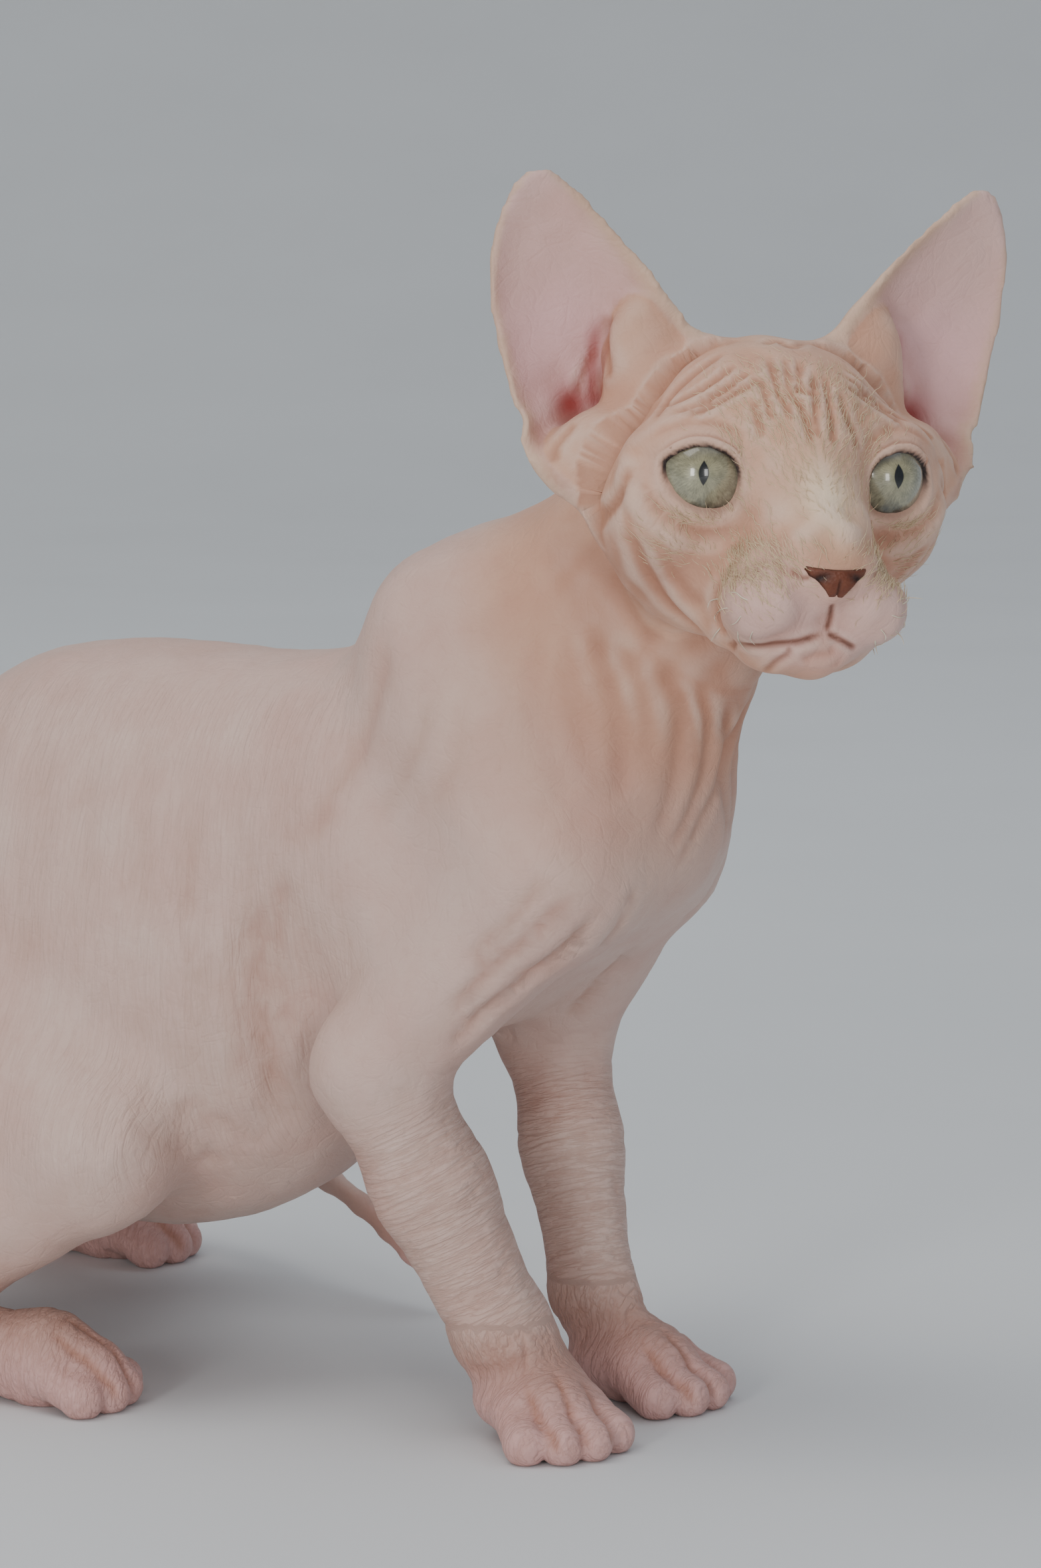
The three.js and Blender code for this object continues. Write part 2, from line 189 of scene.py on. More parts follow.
legs = {
    "right": {
        "shoulder": (65, -23, 119),
        "elbow": (29, -32, 77),
        "wrist": (51.8, -19.5, 22),
        "paw": (53.5, -15.5, 0),
        "pawTurn": -30,
        "girth": 1.0,
        "hip": (-108, -22, 92),
        "knee": (-36, -42, 55),
        "heel": (-92, -56.5, 0),
        "footTurn": 11,
    },
    "left": {
        "shoulder": (60, 21, 119),
        "elbow": (34, 30, 77),
        "wrist": (49, 21, 22),
        "paw": (52, 22, 0),
        "pawTurn": -8,
        "girth": 0.88,
        "hip": (-108, 22, 92),
        "knee": (-80, 47, 39),
        "heel": (-159, 56, 0),
        "footTurn": 14,
    },
}


def floorPoint(start, turn, ahead, height, aside=0.0):
    c, s = math.cos(math.radians(turn)), math.sin(math.radians(turn))
    return np.array([start[0] + ahead * c - aside * s, start[1] + ahead * s + aside * c, height])


def toesOf(start, turn, front, spread, lead, radius):
    made = []
    for place in (-1.5, -0.5, 0.5, 1.5):
        ahead = front - 5.2 - (lead if abs(place) > 1 else 0)
        fan = math.radians(place * 9)
        back = floorPoint(start, turn, ahead - 7 * math.cos(fan), 7.2, place * spread - 5 * math.sin(fan))
        tip = floorPoint(start, turn, ahead + 1.2, radius - 0.9, place * spread)
        made.append(limb(back, radius * 0.85, tip, radius))
    return made


def foreleg(leg):
    g = leg["girth"]
    elbow, wrist = np.array(leg["elbow"], float), np.array(leg["wrist"], float)
    middle = elbow + (wrist - elbow) * 0.45
    ankle = np.array(leg["paw"]) + (4, 0, 10)
    shaft = meld(
        5,
        limb(elbow, 11.8 * g, middle, 11.8 * g),
        limb(middle, 11.8 * g, wrist, 9.6 * g),
        limb(wrist, 9.6 * g, ankle, 9.8 * g),
    )
    palm = egg(floorPoint(leg["paw"], leg["pawTurn"], 7, 8.6), (15, 12.2, 8.2), (0, 0, leg["pawTurn"]))
    pad = egg(floorPoint(leg["paw"], leg["pawTurn"], 9, 3.6), (10, 8, 4.4), (0, 0, leg["pawTurn"]))
    toes = meld(0.9, *toesOf(leg["paw"], leg["pawTurn"], 29, 6.8, 3.6, 4.6))
    return meld(2.4, shaft, palm, pad, toes)


def hindleg(leg):
    heel, turn = leg["heel"], leg["footTurn"]
    hock = floorPoint(heel, turn, 1, 13)
    knee = np.array(leg["knee"], float)
    foot = meld(
        5,
        limb(floorPoint(heel, turn, 0, 10.5), 8.2, floorPoint(heel, turn, 6, 8.5), 8),
        limb(floorPoint(heel, turn, 6, 8.5), 8, floorPoint(heel, turn, 48, 9.5), 9.4),
        limb(floorPoint(heel, turn, 48, 8.5), 9.6, floorPoint(heel, turn, 58, 7), 8),
    )
    toes = meld(0.9, *toesOf(heel, turn, 68, 6.3, 3.2, 4.7))
    shank = meld(6, limb(knee, 15.5, hock, 8.4), limb(knee + (hock - knee) * 0.3, 14, hock, 7.5))
    return meld(7, meld(3, foot, toes), shank, limb(leg["hip"], 32, knee, 18))


tail = {
    "path": [
        (-146, 2, 84),
        (-164, 14, 70),
        (-172, 38, 50),
        (-160, 66, 32),
        (-122, 80, 26),
        (-84, 74, 29),
        (-55, 61, 31),
        (-31, 59, 20),
        (-15, 57, 9),
    ],
    "rootRadius": 7.5,
    "tipRadius": 1.9,
}


def curveThrough(points, samples):
    p = np.array(points, float)
    steps = np.concatenate([[0], np.cumsum(np.sqrt(norm(np.diff(p, axis=0))))])
    ends = np.vstack([2 * p[0] - p[1], p, 2 * p[-1] - p[-2]])
    knots = np.concatenate([[2 * steps[0] - steps[1]], steps, [2 * steps[-1] - steps[-2]]])
    out = []
    for u in np.linspace(0, steps[-1], samples):
        i = min(max(np.searchsorted(steps, u, "right") - 1, 0), len(p) - 2)
        k = knots[i : i + 4]
        c = ends[i : i + 4]

        def between(first, second, low, high):
            return first * ((high - u) / (high - low)) + second * ((u - low) / (high - low))

        a = [between(c[j], c[j + 1], k[j], k[j + 1]) for j in range(3)]
        b = [between(a[j], a[j + 1], k[j], k[j + 2]) for j in range(2)]
        out.append(between(b[0], b[1], k[1], k[2]))
    return np.array(out)


tailLine = curveThrough(tail["path"], 25)
tailGirth = tail["rootRadius"] + (tail["tipRadius"] - tail["rootRadius"]) * np.linspace(0, 1, 25) ** 0.62
tailMass = meld(2, *[limb(tailLine[i], tailGirth[i], tailLine[i + 1], tailGirth[i + 1]) for i in range(24)])

trunkMass = meld(
    14,
    egg((-50, 0, 92), (72, 45, 62.5)),
    egg((-116, 0, 77), (45, 38, 53)),
    limb((28, 0, 112), 33, (65, 0, 130), 25),
    egg((46, 0, 147), (36, 25, 40)),
    limb((-64, 0, 123), 29.5, (10, 0, 126), 33),
    meld(
        8,
        *[
            limb(*ends)
            for side, s in (("right", -1), ("left", 1))
            for ends in (
                ((34, 15 * s, 166), 14, legs[side]["shoulder"], 16),
                (legs[side]["shoulder"], 15.5, legs[side]["elbow"], 11.8),
            )
        ],
    ),
)
neckMass = meld(10, limb((46, 0, 150), 32, (80, 1, 184), 23), limb((60, 0, 140), 29, (86, -3, 168), 17))

# The ears: a thick curved sheet between an inner and an outer edge, seen from in front
ears = {
    "inner": [
        (-9, 11, 19),
        (-12, 15.6, 27.5),
        (-13, 24, 38.2),
        (-14, 34.2, 48.8),
        (-14.5, 43.6, 56.6),
        (-15, 46.4, 58),
    ],
    "outer": [
        (-8, 35, -9),
        (-14, 46.5, 1),
        (-19, 51, 18),
        (-20, 54.8, 36),
        (-17, 52.8, 52),
        (-15, 48.4, 57.8),
    ],
    "rows": 90,
    "columns": 64,
    "cup": (0.42, 0.12),  # depth of the cup over its width at the root and at the tip
    "thickness": (2.6, 2.0),
    "notch": (1.7, 9.0, 2.2),  # depth, height and width of the nick in the outer edge
    # flesh in front of the cup: the inner band and the two flaps over the canal
    "flesh": [
        ((-17.8, 22.5, 16), (6.2, 9, 12)),
        ((-17.6, 24.5, 24), (4.4, 6, 9.5)),
        ((-15.5, 32, 6.5), (6, 7, 5.5)),
        ((-17, 37.5, 1), (6.5, 5.5, 6.5)),
    ],
}


def earSheet():
    inner = curveThrough(ears["inner"], ears["rows"])
    outer = curveThrough(ears["outer"], ears["rows"])
    nick, height, width = ears["notch"]
    outer[:, 1] -= nick * hump(outer[:, 2] - height, width)
    t = np.linspace(0, 1, ears["rows"])[:, None]
    s = np.linspace(-1, 1, ears["columns"])[None, :]
    width = norm(outer - inner)[:, None]
    depth = width * (ears["cup"][0] + (ears["cup"][1] - ears["cup"][0]) * np.sqrt(t))
    bow = (1 - np.abs(s) ** 2.4) ** 0.75
    back = np.array([-1, -0.25, -0.15]) / np.linalg.norm([-1, -0.25, -0.15])
    along = (s + 1) / 2
    sheet = inner[:, None, :] * (1 - along[..., None]) + outer[:, None, :] * along[..., None]
    halfThick = 0.5 * (ears["thickness"][0] * (1 - t) + ears["thickness"][1] * t)
    push = depth * bow + halfThick
    # low ridges that run up inside the cup from the canal
    push = push - 1.1 * hump(s - 0.15 - 0.2 * t, 0.1) * smooth(0.5, 0.1, t)
    push = push - 0.8 * hump(s + 0.35, 0.09) * smooth(0.45, 0.12, t)
    sheet = sheet + push[..., None] * back
    half = halfThick * (0.65 + 0.35 * (1 - s**4))
    return sheet.reshape(-1, 3), np.broadcast_to(half, (ears["rows"], ears["columns"])).reshape(-1)


earPoints, earHalf = earSheet()
earFlesh = [egg(at, radii) for at, radii in ears["flesh"]]
earTree = kdtree.KDTree(len(earPoints))
for i, q in enumerate(earPoints):
    earTree.insert(q, i)
earTree.balance()


def earMass(q):
    mirrored = np.array(q)
    mirrored[:, 1] = np.abs(mirrored[:, 1])
    out = np.full(len(q), 60.0)
    near = np.flatnonzero((mirrored[:, 1] > 6) & (mirrored[:, 2] > -16) & (q[:, 0] < 4) & (q[:, 0] > -42))
    for i in near:
        _, j, d = earTree.find(mirrored[i])
        out[i] = d - earHalf[j]
    return meld(4.5, lambda p: out, *earFlesh)(mirrored)


def wholeCat(p):
    q = toHead(p)
    nearHead = (norm(q) < 95).any()
    headAndEars = meld(8.5, headMass, earMass)(q) if nearHead else headMass(q)
    trunk = meld(7, trunkMass, foreleg(legs["right"]), foreleg(legs["left"]))(p)
    rear = meld(5, hindleg(legs["right"]), hindleg(legs["left"]))(p)
    body = joinValues(9, joinValues(10, trunk, rear), neckMass(p))
    body = joinValues(5, body, tailMass(p))
    return joinValues(7, body, headAndEars)


def settle(p, mass, rounds=3, limit=2.5):
    for _ in range(rounds):
        d = mass(p)
        slope = np.stack([(mass(p + e) - mass(p - e)) / 0.3 for e in np.eye(3) * 0.15], axis=1)
        move = np.clip(d, -limit, limit)[:, None] * slope / np.maximum((slope**2).sum(1), 0.25)[:, None]
        p = p - move
    return p


# Small tools for meshes
def coordinates(piece):
    flat = np.zeros(len(piece.data.vertices) * 3, np.float32)
    piece.data.vertices.foreach_get("co", flat)
    return flat.reshape(-1, 3).astype(float)


def putCoordinates(piece, metres):
    piece.data.vertices.foreach_set("co", np.asarray(metres, np.float32).ravel())
    piece.data.update()


def normals(piece):
    flat = np.zeros(len(piece.data.vertices) * 3, np.float32)
    piece.data.vertices.foreach_get("normal", flat)
    return flat.reshape(-1, 3).astype(float)


def only(piece):
    bpy.ops.object.select_all(action="DESELECT")
    piece.select_set(True)
    bpy.context.view_layer.objects.active = piece


def finishWith(piece, kind, **settings):
    only(piece)
    modifier = piece.modifiers.new(kind.title(), kind)
    for name, value in settings.items():
        setattr(modifier, name, value)
    bpy.ops.object.modifier_apply(modifier=modifier.name)


def faceOutwards(piece):
    only(piece)
    bpy.ops.object.mode_set(mode="EDIT")
    bpy.ops.mesh.select_all(action="SELECT")
    bpy.ops.mesh.normals_make_consistent(inside=False)
    bpy.ops.object.mode_set(mode="OBJECT")


def paint(piece, name, values):
    layer = piece.data.attributes.new(name, "FLOAT", "POINT")
    layer.data.foreach_set("value", np.asarray(values, np.float32))


def paintVector(piece, name, values):
    layer = piece.data.attributes.new(name, "FLOAT_VECTOR", "POINT")
    layer.data.foreach_set("vector", values.astype(np.float32).ravel())


def refine(piece, chosen):
    only(piece)
    faces = piece.data.polygons
    centres = np.zeros(len(faces) * 3, np.float32)
    faces.foreach_get("center", centres)
    pick = chosen(toPlan(centres.reshape(-1, 3)))
    bpy.ops.object.mode_set(mode="EDIT")
    bpy.ops.mesh.select_mode(type="FACE")
    bpy.ops.mesh.select_all(action="DESELECT")
    bpy.ops.object.mode_set(mode="OBJECT")
    faces.foreach_set("select", pick)
    bpy.ops.object.mode_set(mode="EDIT")
    bpy.ops.mesh.subdivide(number_cuts=1)
    bpy.ops.object.mode_set(mode="OBJECT")


# Skin: copies of the flesh are melted into one and drawn onto the smooth masses
skinLook = {
    "voxel": 0.00115,
    "bodyFaces": 0.5,
    "ringSpacing": 5.2,  # of the wrinkles round the forelegs, in millimetres
    "ringDepth": 0.42,
    "flankSpacing": 13.0,
    "flankDepth": 0.22,
}
flesh = [name for name in frame["nodes"] if not name.startswith(("eye_", "nose"))]
copies = []
for name in frame["nodes"]:
    if name.startswith("ear_"):
        continue
    copy = frame["nodes"][name].copy()
    copy.data = copy.data.copy()
    copy.parent = None
    for key in list(copy.keys()):
        del copy[key]
    bpy.context.collection.objects.link(copy)
    copies.append(copy)
for side in (-1, 1):
    cells = {"x_subdivisions": ears["columns"] - 1, "y_subdivisions": ears["rows"] - 1}
    bpy.ops.mesh.primitive_grid_add(size=2, **cells)
    sheet = bpy.context.object
    g = coordinates(sheet)
    column = np.rint((g[:, 0] + 1) / 2 * (ears["columns"] - 1)).astype(int)
    row = np.rint((g[:, 1] + 1) / 2 * (ears["rows"] - 1)).astype(int)
    onSheet = earPoints[row * ears["columns"] + column] * (1, side, 1)
    putCoordinates(sheet, toMetres(fromHead(onSheet)))
    finishWith(sheet, "SOLIDIFY", thickness=0.0024, offset=0)
    faceOutwards(sheet)
    copies.append(sheet)
    for at, radii in ears["flesh"]:
        bpy.ops.mesh.primitive_ico_sphere_add(subdivisions=4, radius=1)
        lump = bpy.context.object
        onLump = (coordinates(lump) * radii + at) * (1, side, 1)
        putCoordinates(lump, toMetres(fromHead(onLump)))
        faceOutwards(lump)
        copies.append(lump)
# a little flesh closes the gap between each elbow and the chest
elbowFlesh = (((20, -31, 76), 9), ((24, -32, 67), 8), ((25, 28, 76), 9), ((28, 29, 67), 7))
for at, radius in elbowFlesh:
    bpy.ops.mesh.primitive_ico_sphere_add(subdivisions=4, radius=radius / 1000, location=toMetres(at))
    bpy.ops.object.transform_apply(location=True)
    copies.append(bpy.context.object)
bpy.ops.object.select_all(action="DESELECT")
for copy in copies:
    copy.select_set(True)
bpy.context.view_layer.objects.active = copies[0]
bpy.ops.object.join()
skin = copies[0]
skin.name = skin.data.name = "skin"
skin.data.materials.clear()
finishWith(skin, "REMESH", mode="VOXEL", voxel_size=skinLook["voxel"])
# bubbles shut in between the solids go
foremost = int(coordinates(skin)[:, 0].argmax())
for part in (skin.data.vertices, skin.data.edges, skin.data.polygons):
    part.foreach_set("select", np.zeros(len(part), bool))
skin.data.vertices[foremost].select = True
only(skin)
bpy.ops.object.mode_set(mode="EDIT")
bpy.ops.mesh.select_mode(type="VERT")
bpy.ops.mesh.select_linked()
bpy.ops.mesh.select_all(action="INVERT")
bpy.ops.mesh.delete(type="VERT")
bpy.ops.object.mode_set(mode="OBJECT")
print("melted:", len(skin.data.polygons), "faces")

# The camera stands where the photographer's did: low, in front of the right shoulder
view = {
    "at": (580.02, -857.74, 275.05),
    "heading": 32.0,
    "down": 8.0,
    "lens": 113.29,
    "pixels": (1568, 2361),
}
eyeOfCamera = np.array(view["at"])
a, e = math.radians(view["heading"]), math.radians(view["down"])
viewForward = np.array([-math.sin(a) * math.cos(e), math.cos(a) * math.cos(e), -math.sin(e)])
viewRight = np.array([math.cos(a), math.sin(a), 0])
viewUp = np.cross(viewRight, viewForward)
camera = bpy.data.objects.new("camera", bpy.data.cameras.new("camera"))
bpy.context.collection.objects.link(camera)
camera.location = toMetres(eyeOfCamera)
camera.rotation_euler = (math.radians(90 - view["down"]), 0, a)
camera.data.sensor_fit = "VERTICAL"
camera.data.sensor_height = 36
camera.data.lens = view["lens"]
camera.data.clip_start = 0.05
bpy.context.scene.camera = camera


def rayThrough(pixel):
    scale = view["lens"] / 36 * view["pixels"][1]
    x, y = (pixel[0] - view["pixels"][0] / 2) / scale, (view["pixels"][1] / 2 - pixel[1]) / scale
    return viewForward + viewRight * x + viewUp * y


# Eyelids: the opening as the reach of its edge from the eye's axis, outer corner first, upwards
lids = {
    "edge": [
        *[(0, 8.9), (20, 9.9), (40, 7.9), (62, 6.8), (92, 6.3), (122, 6.7), (152, 8.4)],
        *[(180, 10.2), (204, 11.8), (226, 10.1), (252, 7.9), (280, 7.2), (312, 7.1), (340, 7.6)],
    ],
    "lower": -0.9,  # how far the opening's middle lies under the eye's axis
    "thickness": 1.35,
    "bag": 0.45,
    "crease": 0.6,
}


def frameAlong(outwards, rise, side):
    turn = math.radians(outwards)
    aim = np.array([math.cos(turn), side * math.sin(turn), rise])
    aim /= np.linalg.norm(aim)
    out = np.cross((0, 0, 1), aim) * side
    out /= np.linalg.norm(out)
    return aim, out, np.cross(aim, out) * side


def eyeFrame(side):
    centre = np.array([plan["eyeForward"], plan["eyeSpacing"] * side, 0])
    return centre, *frameAlong(plan["eyeTurnOut"], 0.04, side)


def lidReach(angle):
    knots = np.radians([t[0] for t in lids["edge"]] + [360])
    reach = np.array([t[1] for t in lids["edge"]] + [lids["edge"][0][1]])
    fine = np.linspace(0, 2 * math.pi, 181)
    rough = np.interp(fine, knots, reach)[:-1]
    for _ in range(3):
        rough = 0.25 * np.roll(rough, 1) + 0.5 * rough + 0.25 * np.roll(rough, -1)
    return np.interp(np.mod(angle, 2 * math.pi), fine, np.append(rough, rough[0]))


def lidPlace(q, side):
    centre, aim, out, up = eyeFrame(side)
    offset = q - centre
    s, u, ahead = offset @ out, offset @ up - lids["lower"], offset @ aim
    angle = np.arctan2(u, s)
    return np.hypot(s, u) - lidReach(angle), angle, ahead, offset


def shapeLids(q, side):
    d, angle, ahead, offset = lidPlace(q, side)
    far = norm(offset)
    radius = plan["eyeRadius"]
    below = smooth(0.25, -0.35, np.sin(angle))
    rise = lids["thickness"] * smooth(-0.15, 1.3, d) + 0.15
    inside = np.minimum(d, 0)
    target = radius + rise + inside * 1.3
    outwards = offset / np.maximum(far, 1e-6)[:, None]
    onLid = q + outwards * (target - far)[:, None]
    keep = smooth(1.6, 6.0, d)
    keep = np.where((ahead < 0) | (far > 24), 1.0, keep)
    shaped = onLid * (1 - keep)[:, None] + q * keep[:, None]
    outer = smooth(1.0, 0.6, np.abs(np.cos(angle)))
    offNose = smooth(-0.98, -0.45, np.cos(angle))
    underEye = lids["crease"] * hump(d - 4.1, 0.6) - lids["bag"] * hump(d - 6.1, 1.7)
    folds = below * (0.5 * hump(d - 1.9, 1.5) - offNose * underEye)
    folds -= (1 - below) * outer * (0.5 * hump(d - 2.0, 0.4) + 0.3 * hump(d - 4.6, 0.6))
    folds += (1 - below) * offNose * (0.2 * hump(d - 3.4, 0.7) + 0.3 * hump(d - 6.2, 1.5))
    folds = np.where((ahead < -1) | (far > 26), 0, folds)
    line = (1 - 0.75 * below) * smooth(0.7, 0.25, d) * (ahead > -2)
    return shaped + outwards * folds[:, None], d, np.where(ahead > -2, 1, 0), folds, line


# Folds: groove depth and width in millimetres, and points in the camera's frame that are thrown
# onto the skin
folds = {
    "mouth": (
        0.7,
        0.8,
        [(1245, 952), (1218, 961), (1195, 968), (1170, 974), (1148, 976), (1125, 972), (1105, 966)],
    ),
    "mouthFar": (0.6, 0.6, [(1245, 951), (1262, 961), (1276, 969), (1290, 978)]),
    "philtrum": (0.45, 0.6, [(1253, 905), (1252, 926), (1249, 940), (1245, 951)]),
    "lip": (0.5, 0.8, [(1190, 971), (1186, 984), (1168, 996), (1152, 1008), (1138, 1014)]),
    "lipCorner": (0.6, 0.7, [(1108, 966), (1099, 978), (1093, 992)]),
    "chin": (0.25, 1.2, [(1252, 968), (1262, 985), (1258, 1004)]),
    "padEdge": (0.9, 1.3, [(1092, 878), (1080, 905), (1082, 938), (1094, 960)]),
    "lipNostril": (0.4, 0.5, [(1191, 856), (1200, 866), (1212, 871), (1224, 866)]),
    "underLip": (0.5, 1.2, [(1262, 978), (1248, 986), (1226, 988), (1204, 996)]),
    "noseSide": (0.4, 0.8, [(1200, 866), (1180, 860), (1165, 840)]),
    "cheek1": (1.0, 1.5, [(945, 697), (938, 735), (915, 770), (885, 790)]),
    "cheek2": (1.3, 1.8, [(950, 795), (966, 850), (1002, 905), (1048, 950), (1085, 978)]),
    "cheek3": (0.6, 1.8, [(912, 800), (922, 860), (948, 920), (990, 975)]),
    "cheek4": (0.4, 1.6, [(985, 800), (1002, 850), (1036, 892), (1070, 915)]),
    "cheek5": (0.3, 1.2, [(905, 700), (890, 740), (868, 768)]),
    "cheek6": (0.3, 1.2, [(940, 755), (948, 790), (944, 825)]),
    "brow1": (0.77, 0.75, [(1126, 570), (1149, 578), (1157, 612), (1163, 635)]),
    "brow2": (0.85, 0.75, [(1157, 532), (1166, 562), (1172, 589), (1184, 608), (1195, 635)]),
    "brow3": (0.94, 0.75, [(1180, 535), (1188, 566), (1188, 589), (1207, 612), (1218, 647), (1222, 674)]),
    "brow4": (0.94, 0.75, [(1207, 539), (1203, 570), (1207, 589), (1238, 591)]),
    "brow5": (0.85, 0.75, [(1226, 558), (1230, 597), (1228, 635), (1236, 666)]),
    "brow6": (0.85, 0.75, [(1241, 562), (1249, 605), (1255, 647), (1257, 674)]),
    "brow7": (0.77, 0.85, [(1265, 589), (1276, 628), (1288, 655), (1293, 682)]),
    "brow8": (0.68, 0.85, [(1135, 600), (1142, 630), (1148, 660)]),
    "brow9": (0.68, 0.75, [(1146, 520), (1170, 512), (1192, 522), (1215, 515)]),
    "brow10": (0.59, 0.75, [(1190, 590), (1212, 584), (1232, 575)]),
    "earStep": (0.8, 1.6, [(921, 470), (914, 500), (912, 540), (917, 575)]),
    "earNotch": (0.6, 1.2, [(868, 632), (850, 655), (836, 675), (838, 700)]),
    "earEdge1": (0.6, 0.8, [(900, 520), (880, 560), (868, 600)]),
    "slant1": (1.0, 0.8, [(1145, 572), (1095, 597), (1061, 616), (1026, 628)]),
    "slant2": (0.9, 0.7, [(1138, 556), (1080, 591), (1045, 612), (1010, 625)]),
    "slant3": (0.9, 0.8, [(1111, 545), (1065, 580), (1034, 597), (1000, 615)]),
    "slant4": (0.8, 0.8, [(1095, 528), (1040, 566), (1007, 600), (985, 640)]),
    "slant5": (0.7, 0.8, [(1062, 522), (1020, 560), (985, 605)]),
    "slant6": (0.5, 0.9, [(1290, 585), (1320, 605), (1345, 630)]),
    "neck1": (0.75, 2.2, [(884, 930), (905, 1000), (930, 1075), (938, 1150), (930, 1225)]),
    "neck2": (0.4, 1.8, [(925, 960), (958, 1020), (975, 1090), (972, 1160)]),
    "neck3": (0.9, 2.0, [(985, 985), (1016, 1050), (1026, 1120), (1012, 1200), (985, 1275)]),
    "neck4": (0.8, 1.5, [(1045, 1020), (1064, 1080), (1062, 1150), (1040, 1225), (1000, 1300)]),
    "neck5": (0.4, 2.2, [(850, 940), (858, 1030), (885, 1130), (915, 1215)]),
    "neck6": (0.3, 2.4, [(800, 930), (800, 1030), (826, 1130), (865, 1225)]),
    "neck7": (0.8, 1.4, [(1092, 1050), (1096, 1110), (1082, 1180), (1050, 1250), (1010, 1320)]),
    "neck8": (0.4, 1.1, [(1020, 1030), (1045, 1100), (1046, 1160)]),
    "chest1": (1.7, 1.7, [(905, 1372), (860, 1425), (790, 1480), (720, 1535), (668, 1590)]),
    "chest2": (0.9, 1.3, [(870, 1340), (800, 1410), (730, 1470), (668, 1535)]),
    "chest3": (0.7, 1.3, [(835, 1310), (770, 1385), (700, 1450)]),
    "chest4": (0.8, 1.5, [(960, 1420), (900, 1480), (850, 1540)]),
    "chest5": (0.7, 1.4, [(960, 1330), (930, 1400), (880, 1450)]),
    "armpit": (2.6, 2.6, [(398, 1345), (385, 1420), (390, 1500), (402, 1590), (425, 1660), (455, 1705)]),
    "armpit2": (1.2, 1.7, [(430, 1300), (418, 1400), (424, 1490), (440, 1570)]),
    "armpit3": (0.9, 1.7, [(352, 1400), (345, 1480), (355, 1570), (385, 1650)]),
    "blade": (1.1, 2.6, [(585, 960), (570, 1030), (548, 1110), (500, 1200), (450, 1290)]),
    "blade2": (0.7, 2.4, [(640, 1010), (640, 1090), (600, 1180), (550, 1260)]),
    "blade3": (0.6, 2.2, [(690, 1050), (685, 1140), (650, 1230)]),
    "flank1": (0.7, 2.0, [(300, 1180), (285, 1300), (290, 1420), (305, 1520)]),
    "flank2": (0.6, 2.0, [(235, 1150), (215, 1280), (222, 1420)]),
    "flank3": (0.5, 2.0, [(150, 1120), (135, 1250), (140, 1380)]),
    "flank4": (0.5, 2.0, [(80, 1120), (62, 1240), (66, 1350)]),
    "flank5": (0.6, 1.8, [(250, 1650), (330, 1690), (410, 1722)]),
    "flank6": (0.5, 1.8, [(190, 1690), (270, 1730), (350, 1752)]),
}
oneSided = ("underLip", "philtrum", "brow", "mouth", "lip", "chin")
onHead = (*oneSided, "padEdge", "noseSide", "cheek", "slant", "ear")


def foldLine(pixels, tree):
    hits = []
    for pixel in curveThrough(pixels, 8 * len(pixels)):
        hit = tree.ray_cast(Vector(toMetres(eyeOfCamera)), Vector(rayThrough(pixel)))
        if hit[0] is not None:
            hits.append(toPlan(hit[0]))
    if len(hits) < 4:
        return []
    # a ray that slips past an edge lands far behind, so the longest unbroken run is kept
    step = norm(np.diff(hits, axis=0))
    runs = np.split(np.array(hits), np.flatnonzero(step > 4 * np.median(step) + 1.5) + 1)
    line = max(runs, key=len)
    for _ in range(4):
        line[1:-1] = 0.25 * line[:-2] + 0.5 * line[1:-1] + 0.25 * line[2:]
    return line


def distanceToLine(p, line):
    best = np.full(len(p), 1e9)
    along = np.zeros(len(p))
    total = max(len(line) - 1, 1)
    for i in range(len(line) - 1):
        a, ab = line[i], line[i + 1] - line[i]
        t = np.clip(((p - a) @ ab) / max(ab @ ab, 1e-9), 0, 1)
        d = norm(p - a - t[:, None] * ab)
        closer = d < best
        best = np.where(closer, d, best)
        along = np.where(closer, (i + t) / total, along)
    return best, along


# Skin, continued: fine faces on the face, coarser ones on the trunk
def decimateBody(piece, share):
    p = toPlan(coordinates(piece))
    q = toHead(p)
    onPaws = (p[:, 2] < 24) & (p[:, 0] > -125)
    onHeadOrEars = (norm(q - (0, 0, 8)) < 74) & (q[:, 0] > -46)
    onNeck = (p[:, 2] > 125) & (p[:, 0] > 52)
    coarse = np.flatnonzero(~onPaws & ~onHeadOrEars & ~onNeck)
    piece.vertex_groups.new(name="coarse").add(coarse.tolist(), 1.0, "REPLACE")
    finishWith(piece, "DECIMATE", ratio=share, vertex_group="coarse")
    piece.vertex_groups.clear()


decimateBody(skin, skinLook["bodyFaces"])
putCoordinates(skin, toMetres(settle(toPlan(coordinates(skin)), wholeCat, 3)))
finishWith(skin, "SMOOTH", factor=0.5, iterations=4)
p = settle(toPlan(coordinates(skin)), wholeCat, 2)
putCoordinates(skin, toMetres(p))
q = toHead(p)
onEars = (headMass(q) > 2.2) & (q[:, 0] > -44) & (q[:, 2] > -12) & (np.abs(q[:, 1]) > 8)
onEars = onEars & (norm(q) < 84)
skin.vertex_groups.new(name="ears").add(np.flatnonzero(onEars).tolist(), 1.0, "REPLACE")
finishWith(skin, "SMOOTH", factor=0.5, iterations=8, vertex_group="ears")
skin.vertex_groups.clear()
print("settled:", len(skin.data.polygons), "faces")


def frontOfFace(p):
    q = toHead(p)
    nearEye = [np.abs(lidPlace(q, s)[0]) < 3.2 for s in (-1, 1)]
    muzzleArea = (q[:, 0] > 12) & (q[:, 2] < -12)
    return ((q[:, 0] > -2) & (nearEye[0] | nearEye[1])) | muzzleArea


